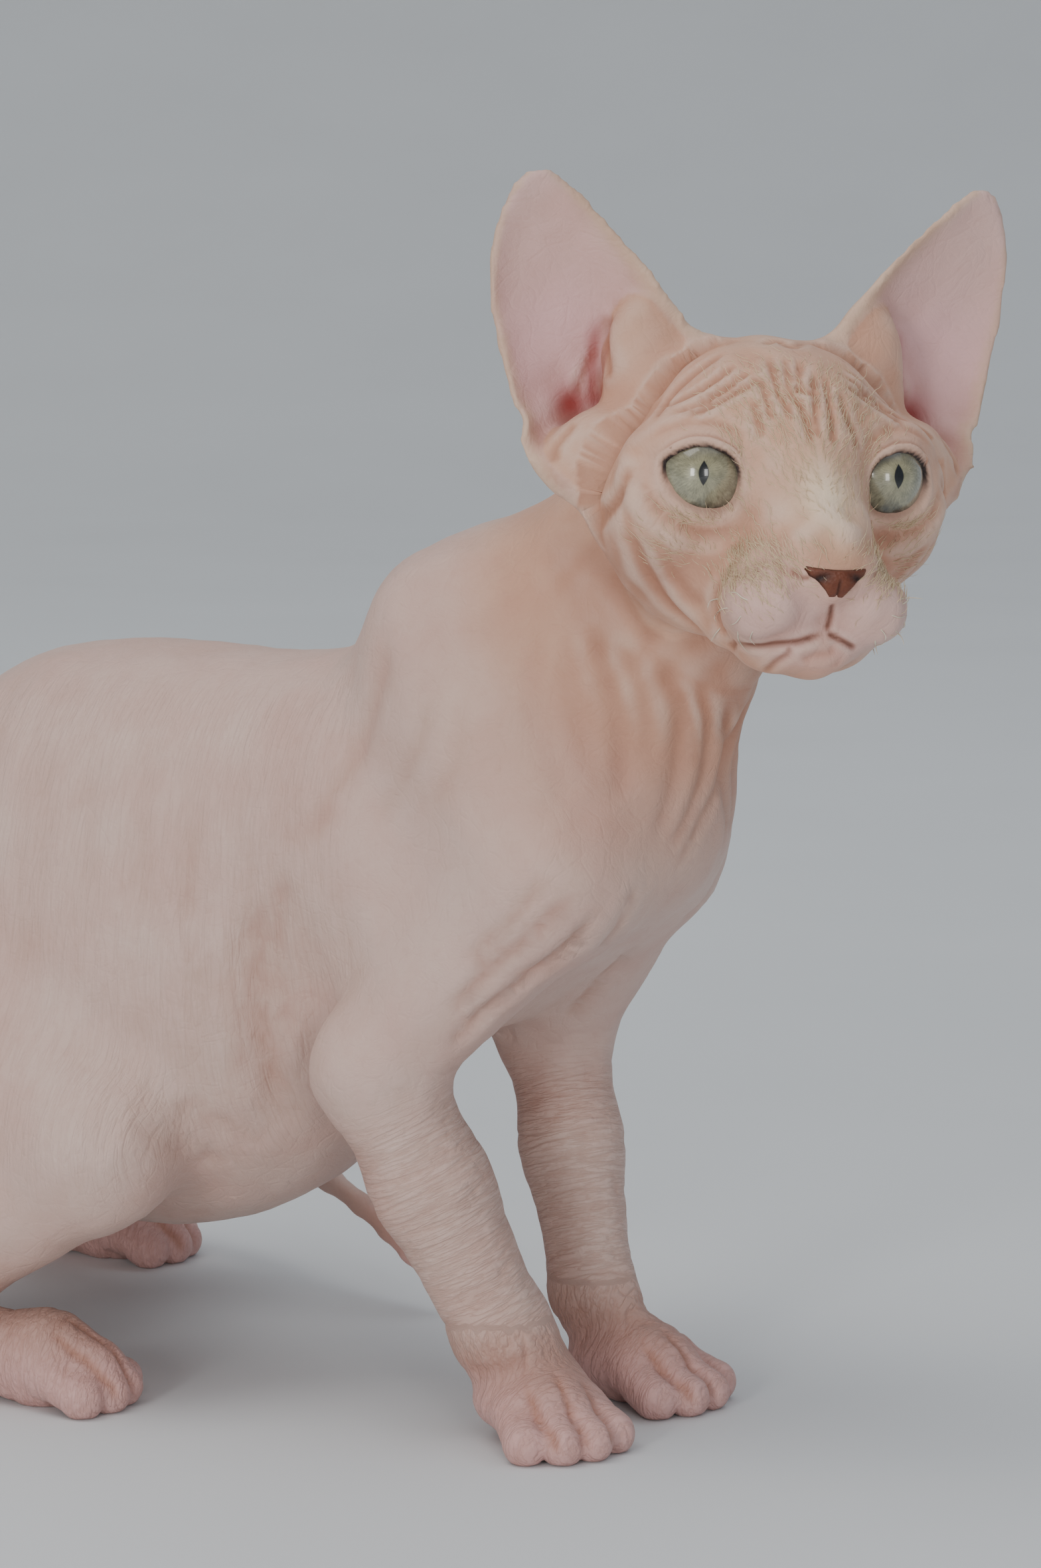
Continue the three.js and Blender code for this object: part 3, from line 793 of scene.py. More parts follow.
refine(skin, frontOfFace)
p = toPlan(coordinates(skin))
q = toHead(p)
close = (q[:, 0] > -10) & (norm(q) < 52)
q[close] = settle(q[close], headMass, 2)
p[close] = fromHead(q[close])
putCoordinates(skin, toMetres(p))
tree = BVHTree.FromObject(skin, bpy.context.evaluated_depsgraph_get())
lines = {}
for name, (depth, width, pixels) in folds.items():
    line = foldLine(pixels, tree)
    if len(line) < 4:
        continue
    lines[name] = (depth, width, line)
    if not name.startswith(oneSided):
        other = mirrorOnHead(line) if name.startswith(onHead) else line * (1, -1, 1)
        lines[name + "Other"] = (depth, width, settle(other, wholeCat, 3, 8))
print("folds:", len(lines))


def creases(along, across, spacing, seed):
    # uneven rings that come and go on their way round
    place = along / spacing + 0.30 * np.sin(across / 9 + seed) + 0.22 * np.sin(across / 4.1 + 2 * seed)
    place += 0.35 * np.sin(along / (2.7 * spacing) + seed)
    ring = np.rint(place)
    strength = 0.5 + 0.5 * np.sin(across / 7 + 2.4 * ring + seed)
    return hump(place - ring, 0.16) * strength


def wrinkleField(p):
    x, y, z = p.T
    push, ringed, nearLegs, gaps, lumps = np.zeros((5, len(p)))
    grain = np.stack([x, 0.12 * z, 0.12 * y], axis=1)
    for number, leg in enumerate(legs.values()):
        elbow, wrist = np.array(leg["elbow"], float), np.array(leg["wrist"], float)
        axis = (wrist - elbow) / np.linalg.norm(wrist - elbow)
        along = (p - elbow) @ axis
        aside = p - elbow - along[:, None] * axis
        away = norm(aside)
        onLeg = smooth(24, 17, away) * smooth(-22, -4, along)
        on = smooth(19, 14.5, away) * smooth(2, 18, along) * smooth(74, 62, along)
        nearLegs = np.maximum(nearLegs, onLeg)
        across = 12 * np.arctan2(aside[:, 1], aside[:, 0])
        groove = creases(along, across, skinLook["ringSpacing"], 1.7 * number + 0.4)
        push -= skinLook["ringDepth"] * groove * on
        onRings = np.stack([along, 0.12 * across, 0 * along], axis=1)
        grain = np.where((on > 0.02)[:, None], onRings, grain)
        ringed = np.maximum(ringed, on)
    onFlank = smooth(-150, -120, x) * smooth(34, 14, x) * smooth(34, 60, z)
    onFlank = onFlank * smooth(12, 26, np.abs(y)) * (1 - nearLegs)
    phase = x / skinLook["flankSpacing"] * 2 * math.pi
    wave = np.sin(phase + 1.1 * np.sin(z / 19) + 0.8 * np.sin(x / 23))
    patchy = 0.6 + 0.4 * np.sin(z / 13 + x / 31)
    push += skinLook["flankDepth"] * wave * patchy * onFlank * (1 - ringed)
    for leg in legs.values():
        for at, turn, length in ((leg["paw"], leg["pawTurn"], 30), (leg["heel"], leg["footTurn"], 68)):
            c, s = math.cos(math.radians(turn)), math.sin(math.radians(turn))
            ahead = (x - at[0]) * c + (y - at[1]) * s
            aside = (y - at[1]) * c - (x - at[0]) * s
            on = smooth(26, 20, z) * smooth(17, 14, np.abs(aside))
            on = on * smooth(-14, -8, ahead) * smooth(length + 6, length, ahead)
            groove = creases(ahead, 2 * aside, 4.4, turn)
            push -= 0.4 * groove * on * smooth(length - 6, length - 14, ahead)
            spread = 6.8 if length < 40 else 6.3
            gap = np.abs(aside - spread * np.clip(np.rint(aside / spread), -1, 1))
            gap = hump(gap, 0.8) * on * smooth(length - 17, length - 12, ahead) * smooth(2, 5, z)
            push -= 0.9 * gap
            gaps = np.maximum(gaps, gap)
            onToes = np.stack([ahead, 0.3 * aside, 0.3 * z], axis=1)
            grain = np.where((on > 0.05)[:, None], onToes, grain)
            ringed = np.maximum(ringed, 0.8 * on)
    directions = ((0.8, 0.5, 0.33), (-0.4, 0.9, 0.2), (0.3, -0.5, 0.8), (0.6, 0.6, -0.5))
    for ways, size in zip(directions, (4.1, 3.3, 4.9, 2.7)):
        lumps += np.sin(p @ ways / size * 2 + 1.3 * np.sin(p @ ways[::-1] / size))
    q = toHead(p)
    onMuzzle = smooth(30, 22, norm(q - (14, 0, -26)))
    onCheeks = smooth(60, 46, norm(q)) * smooth(4, -6, q[:, 2])
    push += lumps * (0.07 + 0.10 * onMuzzle + 0.05 * onCheeks)
    return push, grain, np.maximum(ringed, 0.35 * onFlank), gaps


def hollows(piece):
    # how far each point lies under the mean of its neighbours, in millimetres
    p, n = coordinates(piece) * 1000, normals(piece)
    ends = np.zeros(len(piece.data.edges) * 2, np.int32)
    piece.data.edges.foreach_get("vertices", ends)
    a, b = ends[::2], ends[1::2]
    count = np.maximum(np.bincount(a, minlength=len(p)) + np.bincount(b, minlength=len(p)), 1)

    def spread(values):
        return (np.bincount(a, values[b], len(p)) + np.bincount(b, values[a], len(p))) / count

    mean = np.stack([spread(p[:, i]) for i in range(3)], axis=1)
    depth = ((mean - p) * n).sum(1)
    for _ in range(2):
        depth = 0.5 * depth + 0.5 * spread(depth)
    return depth


# Lids first, then grooves along every fold with a soft ridge beside it
q = toHead(p)
rim = np.full(len(p), 9.0)
crease, lidLine, lipsAndMouthShade = np.zeros((3, len(p)))
for side in (-1, 1):
    q, d, front, lift, line = shapeLids(q, side)
    lidLine = np.maximum(lidLine, line)
    rim = np.where((front > 0) & (np.abs(d) < np.abs(rim)), d, rim)
    crease = np.maximum(crease, np.clip(-lift, 0, 1))
p = fromHead(q)
putCoordinates(skin, toMetres(p))
n = normals(skin)
push, grain, ringed, gaps = wrinkleField(p)
crease = np.maximum(crease, np.maximum(gaps, 0.5 * np.clip(-push, 0, 1)))
for name, (depth, width, line) in lines.items():
    low, high = line.min(0) - 4 * width, line.max(0) + 4 * width
    near = np.flatnonzero(((p > low) & (p < high)).all(1))
    if not len(near):
        continue
    d, t = distanceToLine(p[near], line)
    fade = smooth(0, 0.18, t) * smooth(1, 0.82, t)
    groove = hump(d, width) * fade
    push[near] += -depth * groove + 0.2 * depth * hump(d - 2.1 * width, width) * fade
    # painted shade in the mouth slit, philtrum and lip grooves, over the lips' darker edge
    if name.startswith(("mouth", "philtrum", "lip")):
        dark = 0.95 if name.startswith(("mouth", "philtrum")) else 0.45
        lipsAndMouthShade[near] = np.maximum(lipsAndMouthShade[near], dark * hump(d, 0.5) * fade)
    # how dark the painted crease shade is, by the groove's depth and width
    creaseShadeStrength = min(depth, 1.5) / 1.5 * (1 if width < 1.6 else 0.6)
    crease[near] = np.maximum(crease[near], groove * creaseShadeStrength)
free = smooth(-0.2, 0.8, rim)
p = p + n * (push * free)[:, None]
p[:, 2] = np.maximum(p[:, 2], 0)  # the soles press flat on the floor
putCoordinates(skin, toMetres(p))
onSkull = smooth(60, 50, norm(toHead(p) - (0, 0, -5)))
hollow = hollows(skin) * onSkull
# painted shade in creases, lid folds and between the toes, over the skin's own darker crease tone
paint(skin, "creaseShadeAndTone", crease)
# painted shade in the hollows of the head, measured from the mesh's cavities
paint(skin, "hollowShade", np.clip(hollow / 0.08, 0, 1))
# painted highlight on the head's ridges, measured from the mesh's bulges
ridgeHighlightAndPaleRim = np.clip(-hollow / 0.09, 0, 1)
paint(skin, "lipsAndMouthShade", lipsAndMouthShade)
palePart = 0.9 * hump(rim - 1.6, 1.6) * (q[:, 0] > -4)
paint(skin, "lidLine", lidLine)
# the lids' own pale rims share this mask with the painted ridge highlight
paint(skin, "ridgeHighlightAndPaleRim", np.maximum(ridgeHighlightAndPaleRim, palePart))
paint(skin, "ringed", ringed)
paintVector(skin, "grain", grain)
print("skin shaped:", len(skin.data.polygons), "faces")

# Where the skin blushes, pales and tans, and where shade is painted onto it
p = toPlan(coordinates(skin))
q = toHead(p)
qx, qy, qz = q.T
mirroredY = np.abs(qy)
fromEyes = norm(q)
nearEar = np.flatnonzero((norm(q - (0, 0, 8)) < 90) & (qx > -46) & (mirroredY > 6))
earDistance = np.full(len(p), 9.0)
earDepth, earRow, earColumn = np.zeros((3, len(p)))
for i in nearEar:
    _, j, d = earTree.find((qx[i], mirroredY[i], qz[i]))
    earDistance[i] = d
    earRow[i] = (j // ears["columns"]) / ears["rows"]
    earColumn[i] = (j % ears["columns"]) / ears["columns"] * 2 - 1
    earDepth[i] = qx[i] - earPoints[j][0]
onEar = smooth(2.6, 1.8, earDistance) * smooth(0.05, 0.16, earRow)
inCup = smooth(-0.86, -0.5, earColumn + 0.35 * (1 - earRow))
inCup = onEar * smooth(-0.3, 0.6, earDepth) * inCup
inEarPlane = np.stack([mirroredY, qz], axis=1)


def spot(y, z, width):
    return hump(norm(inEarPlane - (y, z)), width)


inFront = (qx > -34) & (earDistance < 6)
step = hump(mirroredY - 32, 1.6) * smooth(10, 14, qz) * smooth(31, 24, qz)
# painted shade in the ear canal, along the step before it and in the cup's bottom, over the ear's redder
# skin
canal = np.maximum(spot(36, 12.2, 4), np.maximum(0.8 * spot(31.5, 13.5, 3), 0.75 * step)) * inFront
canal = np.maximum(canal, 0.6 * inCup * hump(earRow - 0.12, 0.1))
blush = inCup * (0.3 + 0.7 * spot(39, 22, 15)) + 0.12 * onEar
blush = np.maximum(blush, 0.55 * smooth(20, 6, p[:, 2]) * (qx < 60))
blush = np.maximum(blush, 0.3 * smooth(16, 24, qx) * smooth(-8, -20, qz) * (fromEyes < 60))
fromNose = norm(q - (8, 0, -5))
onFace = smooth(50, 44, fromNose)
cream = 0.75 * onFace * hump(qy, 6.5) * hump(qz + 3, 7) * (qx > 0)
tan = 0.8 * onFace * hump(qy, 9) * hump(qz + 14, 5) * (qx > 8)
tan = np.maximum(tan, 0.5 * onFace * hump(qy, 16) * hump(qz - 14, 9) * (qx > -4))
# painted shade: darker on the lower cheeks, under the jaw and near the floor
dusk = smooth(16, 26, mirroredY) * smooth(-8, -20, qz) * smooth(62, 50, fromEyes)
dusk = np.maximum(0.8 * dusk, smooth(30, 14, p[:, 2]) * (p[:, 0] > -130))
underJaw = smooth(58, 18, norm(p - (84, -8, 158))) * (headMass(q) > 4)
dusk = np.maximum(dusk, 0.5 * underJaw * (onEar < 0.2))
onNeckFront = 0.6 * smooth(62, 12, norm(p - (84, -14, 160)))
padMiddle = np.where(q[:, 1:2] > 0, 1, -1) * (0, 9.6, 0) + (21, 0, -24)
onPads = smooth(14, 8, norm(q - padMiddle))
warm = np.maximum(smooth(86, 60, fromEyes) * (1 - 0.7 * onEar) * (1 - 0.7 * onPads), onNeckFront)
masks = {"blush": blush, "cream": cream, "tan": tan, "canal": canal, "dusk": dusk, "warm": warm}
for name, values in masks.items():
    paint(skin, name, values)
paint(skin, "rimOfEar", onEar * smooth(0.82, 0.97, np.abs(earColumn)))


# Shared shader groups
def group(name, inputs, outputs):
    made = bpy.data.node_groups.new(name, "ShaderNodeTree")
    for label, kind, value in inputs:
        socket = made.interface.new_socket(label, in_out="INPUT", socket_type="NodeSocket" + kind)
        socket.default_value = value
    for label, kind in outputs:
        made.interface.new_socket(label, in_out="OUTPUT", socket_type="NodeSocket" + kind)
    return made, made.nodes.new("NodeGroupInput"), made.nodes.new("NodeGroupOutput")


def node(tree, kind, inputs=None, **settings):
    made = tree.nodes.new("ShaderNode" + kind)
    for name, value in settings.items():
        setattr(made, name, value)
    for key, value in (inputs or {}).items():
        if isinstance(value, bpy.types.NodeSocket):
            tree.links.new(value, made.inputs[key])
        else:
            made.inputs[key].default_value = value
    return made


def mix(tree, kind, factor, a, b):
    inputs = {0: factor, 6: a, 7: b}
    return node(tree, "Mix", inputs, data_type="RGBA", blend_type=kind).outputs[2]


def calc(tree, kind, a, b=0.0, c=0.0):
    return node(tree, "Math", {0: a, 1: b, 2: c}, operation=kind).outputs[0]


def ranged(tree, value, low, high, start=0.0, end=1.0):
    inputs = {"Value": value, "From Min": low, "From Max": high, "To Min": start, "To Max": end}
    return node(tree, "MapRange", inputs).outputs[0]


def attribute(tree, name, kind="Fac"):
    return node(tree, "Attribute", attribute_name=name).outputs[kind]


def wrinkleGroup():
    made, start, end = group("fineWrinkles", [("Vector", "Vector", (0, 0, 0))], [("Height", "Float")])
    where = start.outputs["Vector"]
    warp = node(made, "TexNoise", {"Vector": where, "Scale": 60.0, "Detail": 2.0})
    bending = {0: warp.outputs["Color"], 1: (0.012, 0.012, 0.012)}
    bent = node(made, "VectorMath", bending, operation="MULTIPLY")
    moved = node(made, "VectorMath", {0: where, 1: bent.outputs[0]}, operation="ADD").outputs[0]
    cells = node(made, "TexVoronoi", {"Vector": moved, "Scale": 900.0}, feature="DISTANCE_TO_EDGE")
    grain = node(made, "TexNoise", {"Vector": moved, "Scale": 260.0, "Detail": 5.0, "Roughness": 0.6})
    lines = node(made, "TexVoronoi", {"Vector": moved, "Scale": 230.0}, feature="DISTANCE_TO_EDGE")
    a = calc(made, "MULTIPLY", calc(made, "MINIMUM", cells.outputs[0], 0.25), 0.5)
    b = calc(made, "MULTIPLY", calc(made, "MINIMUM", lines.outputs[0], 0.12), 2.2)
    height = calc(made, "MULTIPLY_ADD", grain.outputs[0], 0.55, calc(made, "ADD", a, b))
    made.links.new(height, end.inputs["Height"])
    return made


def mottleGroup():
    made, start, end = group(
        "mottling",
        [("Vector", "Vector", (0, 0, 0))],
        [("Soft", "Float"), ("Spots", "Float")],
    )
    where = start.outputs["Vector"]
    wide = node(made, "TexNoise", {"Vector": where, "Scale": 38.0, "Detail": 4.0, "Roughness": 0.6})
    fine = node(made, "TexNoise", {"Vector": where, "Scale": 420.0, "Detail": 3.0})
    made.links.new(ranged(made, wide.outputs[0], 0.35, 0.68), end.inputs["Soft"])
    made.links.new(ranged(made, fine.outputs[0], 0.56, 0.75), end.inputs["Spots"])
    return made


def ringGroup():
    made, start, end = group(
        "ringWrinkles",
        [("Vector", "Vector", (0, 0, 0)), ("Size", "Float", 0.55)],
        [("Height", "Float"), ("RingShadeAndTone", "Float")],
    )
    where, size = start.outputs["Vector"], start.outputs["Size"]
    wide = node(made, "TexNoise", {"Vector": where, "Scale": size, "Detail": 3.0})
    line = calc(made, "ABSOLUTE", calc(made, "SUBTRACT", wide.outputs[0], 0.5))
    made.links.new(ranged(made, line, 0.0, 0.07), end.inputs["Height"])
    # mask along each ring's groove, for painted crease shade
    made.links.new(ranged(made, line, 0.0, 0.05, 1.0, 0.0), end.inputs["RingShadeAndTone"])
    return made


fineWrinkles = wrinkleGroup()
mottling = mottleGroup()
ringWrinkles = ringGroup()


def material(name):
    made = bpy.data.materials.new(name)
    made.use_nodes = True
    return made, made.node_tree, made.node_tree.nodes["Principled BSDF"]


def useGroup(tree, made, inputs):
    return node(tree, "Group", inputs, node_tree=made)


skinPaint = {
    "body": (0.62, 0.450, 0.390, 1),
    "bodyRosy": (0.58, 0.380, 0.325, 1),
    "face": (0.63, 0.375, 0.260, 1),
    "faceRosy": (0.57, 0.300, 0.205, 1),
    # colour of the lids' pale rims, also used for the painted ridge highlight
    "paleRimAndHighlight": (0.72, 0.55, 0.46, 1),
    # painted shade colour
    "dusk": (0.34, 0.145, 0.100, 1),
    "blush": (0.72, 0.430, 0.420, 1),
    # painted crease shade over the skin's darker crease tone; also the colour of the mottled spots
    "creaseShadeAndTone": (0.36, 0.155, 0.095, 1),
    "cream": (0.80, 0.66, 0.47, 1),
    "tan": (0.56, 0.30, 0.18, 1),
    # painted shade in the ear canal over its redder skin
    "canal": (0.30, 0.045, 0.04, 1),
    "earRim": (0.60, 0.40, 0.25, 1),
    # painted shade in the mouth slit and grooves, with the lips' darker edge
    "lipsAndMouthShade": (0.11, 0.032, 0.018, 1),
    "rim": (0.03, 0.017, 0.015, 1),
}


def skinMaterial():
    made, tree, shader = material("bareSkin")
    where = node(tree, "TexCoord").outputs["Object"]
    grain = attribute(tree, "grain", "Vector")
    mottled = useGroup(tree, mottling, {"Vector": where})
    soft, spots = mottled.outputs["Soft"], mottled.outputs["Spots"]
    rings = useGroup(tree, ringWrinkles, {"Vector": grain, "Size": 0.34})
    fineRings = useGroup(tree, ringWrinkles, {"Vector": grain, "Size": 0.8})
    bothRings = calc(tree, "MAXIMUM", rings.outputs["RingShadeAndTone"], fineRings.outputs["RingShadeAndTone"])
    ringed = attribute(tree, "ringed")
    # painted shade in the creases of the leg and toe rings, over their darker tone
    ringCreaseShadeAndTone = calc(tree, "MULTIPLY", ringed, bothRings)
    body = mix(tree, "MIX", soft, skinPaint["body"], skinPaint["bodyRosy"])
    face = mix(tree, "MIX", soft, skinPaint["face"], skinPaint["faceRosy"])
    colour = mix(tree, "MIX", attribute(tree, "warm"), body, face)
    layers = (
        # painted shade under the cheeks, under the jaw and near the floor
        ("dusk", "dusk", 0.55),
        ("blush", "blush", 1.0),
        ("tan", "tan", 1.0),
        ("cream", "cream", 1.0),
        # painted highlight on ridges, with the lids' pale rims
        ("ridgeHighlightAndPaleRim", "paleRimAndHighlight", 0.45),
        # painted shade in hollows
        ("hollowShade", "creaseShadeAndTone", 0.5),
        # painted shade in creases, over their darker tone
        ("creaseShadeAndTone", "creaseShadeAndTone", 0.65),
        # painted shade in the ring creases
        (ringCreaseShadeAndTone, "creaseShadeAndTone", 0.22),
        # painted shade in the ear canal over its redder skin
        ("canal", "canal", 1.0),
        ("rimOfEar", "earRim", 0.5),
        (spots, "creaseShadeAndTone", 0.08),
        # painted shade in the mouth slit and grooves, with the lips' darker edge
        ("lipsAndMouthShade", "lipsAndMouthShade", 0.85),
        ("lidLine", "rim", 1.0),
    )
    for mask, name, amount in layers:
        weight = attribute(tree, mask) if isinstance(mask, str) else mask
        if amount != 1.0:
            weight = calc(tree, "MULTIPLY", weight, amount)
        colour = mix(tree, "MIX", weight, colour, skinPaint[name])
    tree.links.new(colour, shader.inputs["Base Color"])
    height = useGroup(tree, fineWrinkles, {"Vector": where})
    across = calc(tree, "MULTIPLY_ADD", rings.outputs["Height"], 1.6, fineRings.outputs["Height"])
    total = calc(tree, "MULTIPLY_ADD", calc(tree, "MULTIPLY", across, ringed), 0.9, height.outputs[0])
    bump = node(tree, "Bump", {"Height": total, "Strength": 0.45, "Distance": 0.0005})
    tree.links.new(bump.outputs[0], shader.inputs["Normal"])
    tree.links.new(ranged(tree, soft, 0.0, 1.0, 0.5, 0.62), shader.inputs["Roughness"])
    shader.inputs["Specular IOR Level"].default_value = 0.3
    shader.inputs["Sheen Weight"].default_value = 0.08
    shader.inputs["Sheen Roughness"].default_value = 0.4
    shader.inputs["Sheen Tint"].default_value = (1.0, 0.9, 0.82, 1)
    return made


skin.data.materials.append(skinMaterial())
only(skin)
bpy.ops.object.shade_smooth()
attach(skin, "root")
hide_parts(*flesh)

# Eyes: a ball with a bulging cornea, its iris painted round the axis it looks along
eyes = {
    "radius": 9.45,
    "bulge": 1.0,
    "iris": 8.5,
    "pupil": (1.0, 2.4),  # half width and half height of the slit
    "irisRings": [
        (0.0, (0.200, 0.195, 0.115, 1)),
        (0.3, (0.300, 0.285, 0.185, 1)),
        (0.62, (0.260, 0.250, 0.170, 1)),
        (0.84, (0.185, 0.185, 0.130, 1)),
        (0.95, (0.045, 0.045, 0.035, 1)),
        (1.0, (0.012, 0.012, 0.010, 1)),
    ],
    "haw": (0.62, 0.55, 0.53, 1),
    "gaze": {"right": (17, 0.04), "left": (4, 0.09)},  # turn outwards and rise
}


def eyeMaterial():
    made, tree, shader = material("wetEye")
    place = attribute(tree, "gaze", "Vector")
    parts = node(tree, "SeparateXYZ", {0: place})
    x, y = parts.outputs[0], parts.outputs[1]
    radius = node(tree, "VectorMath", {0: place}, operation="LENGTH").outputs["Value"]
    angle = calc(tree, "ARCTAN2", y, x)
    turned, outer = calc(tree, "MULTIPLY", angle, 5.0), calc(tree, "MULTIPLY", radius, 0.35)
    ray = node(tree, "CombineXYZ", {0: turned, 1: outer})
    fine = {"Vector": ray.outputs[0], "Scale": 3.0, "Detail": 4.0, "Roughness": 0.65}
    fibres = node(tree, "TexNoise", fine)
    cloud = node(tree, "TexNoise", {"Vector": place, "Scale": 0.5, "Detail": 4.0})
    ramp = node(tree, "ValToRGB", {0: calc(tree, "DIVIDE", radius, eyes["iris"])})
    stops = ramp.color_ramp
    stops.elements[0].position, stops.elements[0].color = 0.0, eyes["irisRings"][0][1]
    stops.elements[1].position, stops.elements[1].color = 1.0, eyes["irisRings"][-1][1]
    for at, colour in eyes["irisRings"][1:-1]:
        stops.elements.new(at).color = colour
    shades = [
        ranged(tree, fibres.outputs[0], 0.3, 0.75, 0.7, 1.35),
        ranged(tree, cloud.outputs[0], 0.35, 0.7, 0.8, 1.2),
        # dark flecks gather along the lower edge, and the upper lid shades the top
        ranged(tree, calc(tree, "ADD", y, calc(tree, "MULTIPLY", cloud.outputs[0], 3.0)), -5.4, -3.4, 0.2),
        ranged(tree, y, 1.6, 6.0, 1.0, 0.3),
    ]
    colour = ramp.outputs[0]
    for shade in shades:
        colour = mix(tree, "MULTIPLY", 1.0, colour, shade)
    # painted lid shadow also tints the top of the iris brown
    colour = mix(tree, "MULTIPLY", ranged(tree, y, -1.0, 4.5, 0.0, 0.55), colour, (1.0, 0.86, 0.62, 1))
    wide, tall = eyes["pupil"]
    offSide = calc(tree, "DIVIDE", calc(tree, "ABSOLUTE", x), wide)
    offLevel = calc(tree, "DIVIDE", calc(tree, "ABSOLUTE", y), tall)
    slit = calc(tree, "ADD", offSide, calc(tree, "POWER", offLevel, 1.8))
    colour = mix(tree, "MULTIPLY", 1.0, colour, ranged(tree, slit, 0.9, 1.12))
    colour = mix(tree, "MIX", attribute(tree, "haw"), colour, eyes["haw"])
    colour = mix(tree, "MIX", attribute(tree, "shade"), colour, (0.015, 0.012, 0.010, 1))
    tree.links.new(colour, shader.inputs["Base Color"])
    shader.inputs["Roughness"].default_value = 0.25
    shader.inputs["Coat Weight"].default_value = 1.0
    shader.inputs["Coat Roughness"].default_value = 0.02
    shader.inputs["Coat IOR"].default_value = 1.45
    return made


wetEye = eyeMaterial()
for side, name in ((-1, "right"), (1, "left")):
    centre = eyeFrame(side)[0]
    bpy.ops.mesh.primitive_ico_sphere_add(subdivisions=5, radius=1)
    eye = bpy.context.object
    eye.name = eye.data.name = "eyeball_" + name
    u = coordinates(eye)
    u /= norm(u)[:, None]
    off = np.degrees(np.arccos(np.clip(u[:, 2], -1, 1)))
    size = eyes["radius"] + eyes["bulge"] * smooth(58, 0, off)
    u *= size[:, None]
    look, across, upwards = frameAlong(*eyes["gaze"][name], side)
    local = centre + u[:, :1] * across + u[:, 1:2] * upwards + u[:, 2:] * look
    putCoordinates(eye, toMetres(fromHead(local)))
    if side < 0:
        faceOutwards(eye)
    paintVector(eye, "gaze", np.stack([u[:, 0], u[:, 1], np.where(u[:, 2] > 0, 0, 20)], axis=1))
    d, turn, _, _ = lidPlace(local, side)
    turn = np.degrees(np.mod(turn, 2 * math.pi))
    corner = hump(turn - 213, 13)
    haw = corner * smooth(-2.4, -1.7, d)
    wide = 0.5 + 1.6 * hump(turn - 165, 45) + 1.3 * corner
    paint(eye, "haw", haw)
    paint(eye, "shade", smooth(-1.3, -0.1, d / wide) * (1 - haw))
    only(eye)
    bpy.ops.object.shade_smooth()
    eye.data.materials.append(wetEye)
    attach(eye, "root")
    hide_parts("eye_" + name)
print("eyes placed")

# Nose leather: a grid laid over the muzzle's tip
nose = {
    "top": -16.4,
    "height": 5.8,
    "halfWidths": [(0, 6.3), (0.12, 6.8), (0.3, 5.9), (0.5, 4.1), (0.75, 2.5), (1, 1.3)],
    "raised": 0.55,
}


def noseMaterial():
    made, tree, shader = material("noseLeather")
    where = node(tree, "TexCoord").outputs["Object"]
    pit = attribute(tree, "pit")
    pebbles = node(tree, "TexVoronoi", {"Vector": where, "Scale": 1500.0})
    noise = node(tree, "TexNoise", {"Vector": where, "Scale": 500.0, "Detail": 3.0})
    colour = mix(tree, "MIX", noise.outputs[0], (0.105, 0.026, 0.013, 1), (0.20, 0.066, 0.036, 1))
    # painted shade in the nostrils, the cleft and along the leather's edge
    colour = mix(tree, "MIX", pit, colour, (0.02, 0.006, 0.004, 1))
    tree.links.new(colour, shader.inputs["Base Color"])
    bump = node(tree, "Bump", {"Height": pebbles.outputs[0], "Strength": 0.4, "Distance": 0.0003})
    tree.links.new(bump.outputs[0], shader.inputs["Normal"])
    shader.inputs["Roughness"].default_value = 0.42
    shader.inputs["Specular IOR Level"].default_value = 0.3
    return made


bpy.ops.mesh.primitive_grid_add(x_subdivisions=72, y_subdivisions=48, size=2)
leather = bpy.context.object
leather.name = leather.data.name = "nose_leather"
g = coordinates(leather)
a, b = g[:, 0], (1 - g[:, 1]) / 2
half = np.interp(b, *zip(*nose["halfWidths"]))
y = a * half
z = nose["top"] - nose["height"] * b + 0.6 * a**2 * (1 - b)
edge = np.minimum(1 - np.abs(a), np.minimum(b, 1 - b) * 2)
start = np.stack([np.full(len(y), 12.0), y, z], axis=1)
low, high = np.zeros(len(y)), np.full(len(y), 26.0)
for _ in range(22):
    middle = (low + high) / 2
    outside = headMass(start + np.outer(middle, (1, 0, 0))) > 0
    high, low = np.where(outside, middle, high), np.where(outside, low, middle)
aside = np.abs(y) - 3.9
# the nostrils' shallow dent; the same mask paints their shade
pit = hump(np.hypot(aside / 1.9, z + 18.3 + 0.35 * aside), 1)
cleft = hump(y, 0.35) * smooth(0.25, 0.5, b)
lift = nose["raised"] * smooth(0, 0.22, edge) - 1.0 * smooth(0.1, 0, edge) - 0.45 * pit - 0.3 * cleft
onTip = start + np.outer(high + lift, (1, 0, 0))
putCoordinates(leather, toMetres(fromHead(onTip)))
# painted shade in the nostrils, the cleft and along the leather's edge
paint(leather, "pit", np.clip(pit + 0.6 * cleft + 0.8 * smooth(0.16, 0.04, edge), 0, 1))
finishWith(leather, "SOLIDIFY", thickness=0.0016, offset=-1)
bpy.ops.object.shade_smooth()
leather.data.materials.append(noseMaterial())
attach(leather, "root")
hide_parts("nose")
print("nose laid")

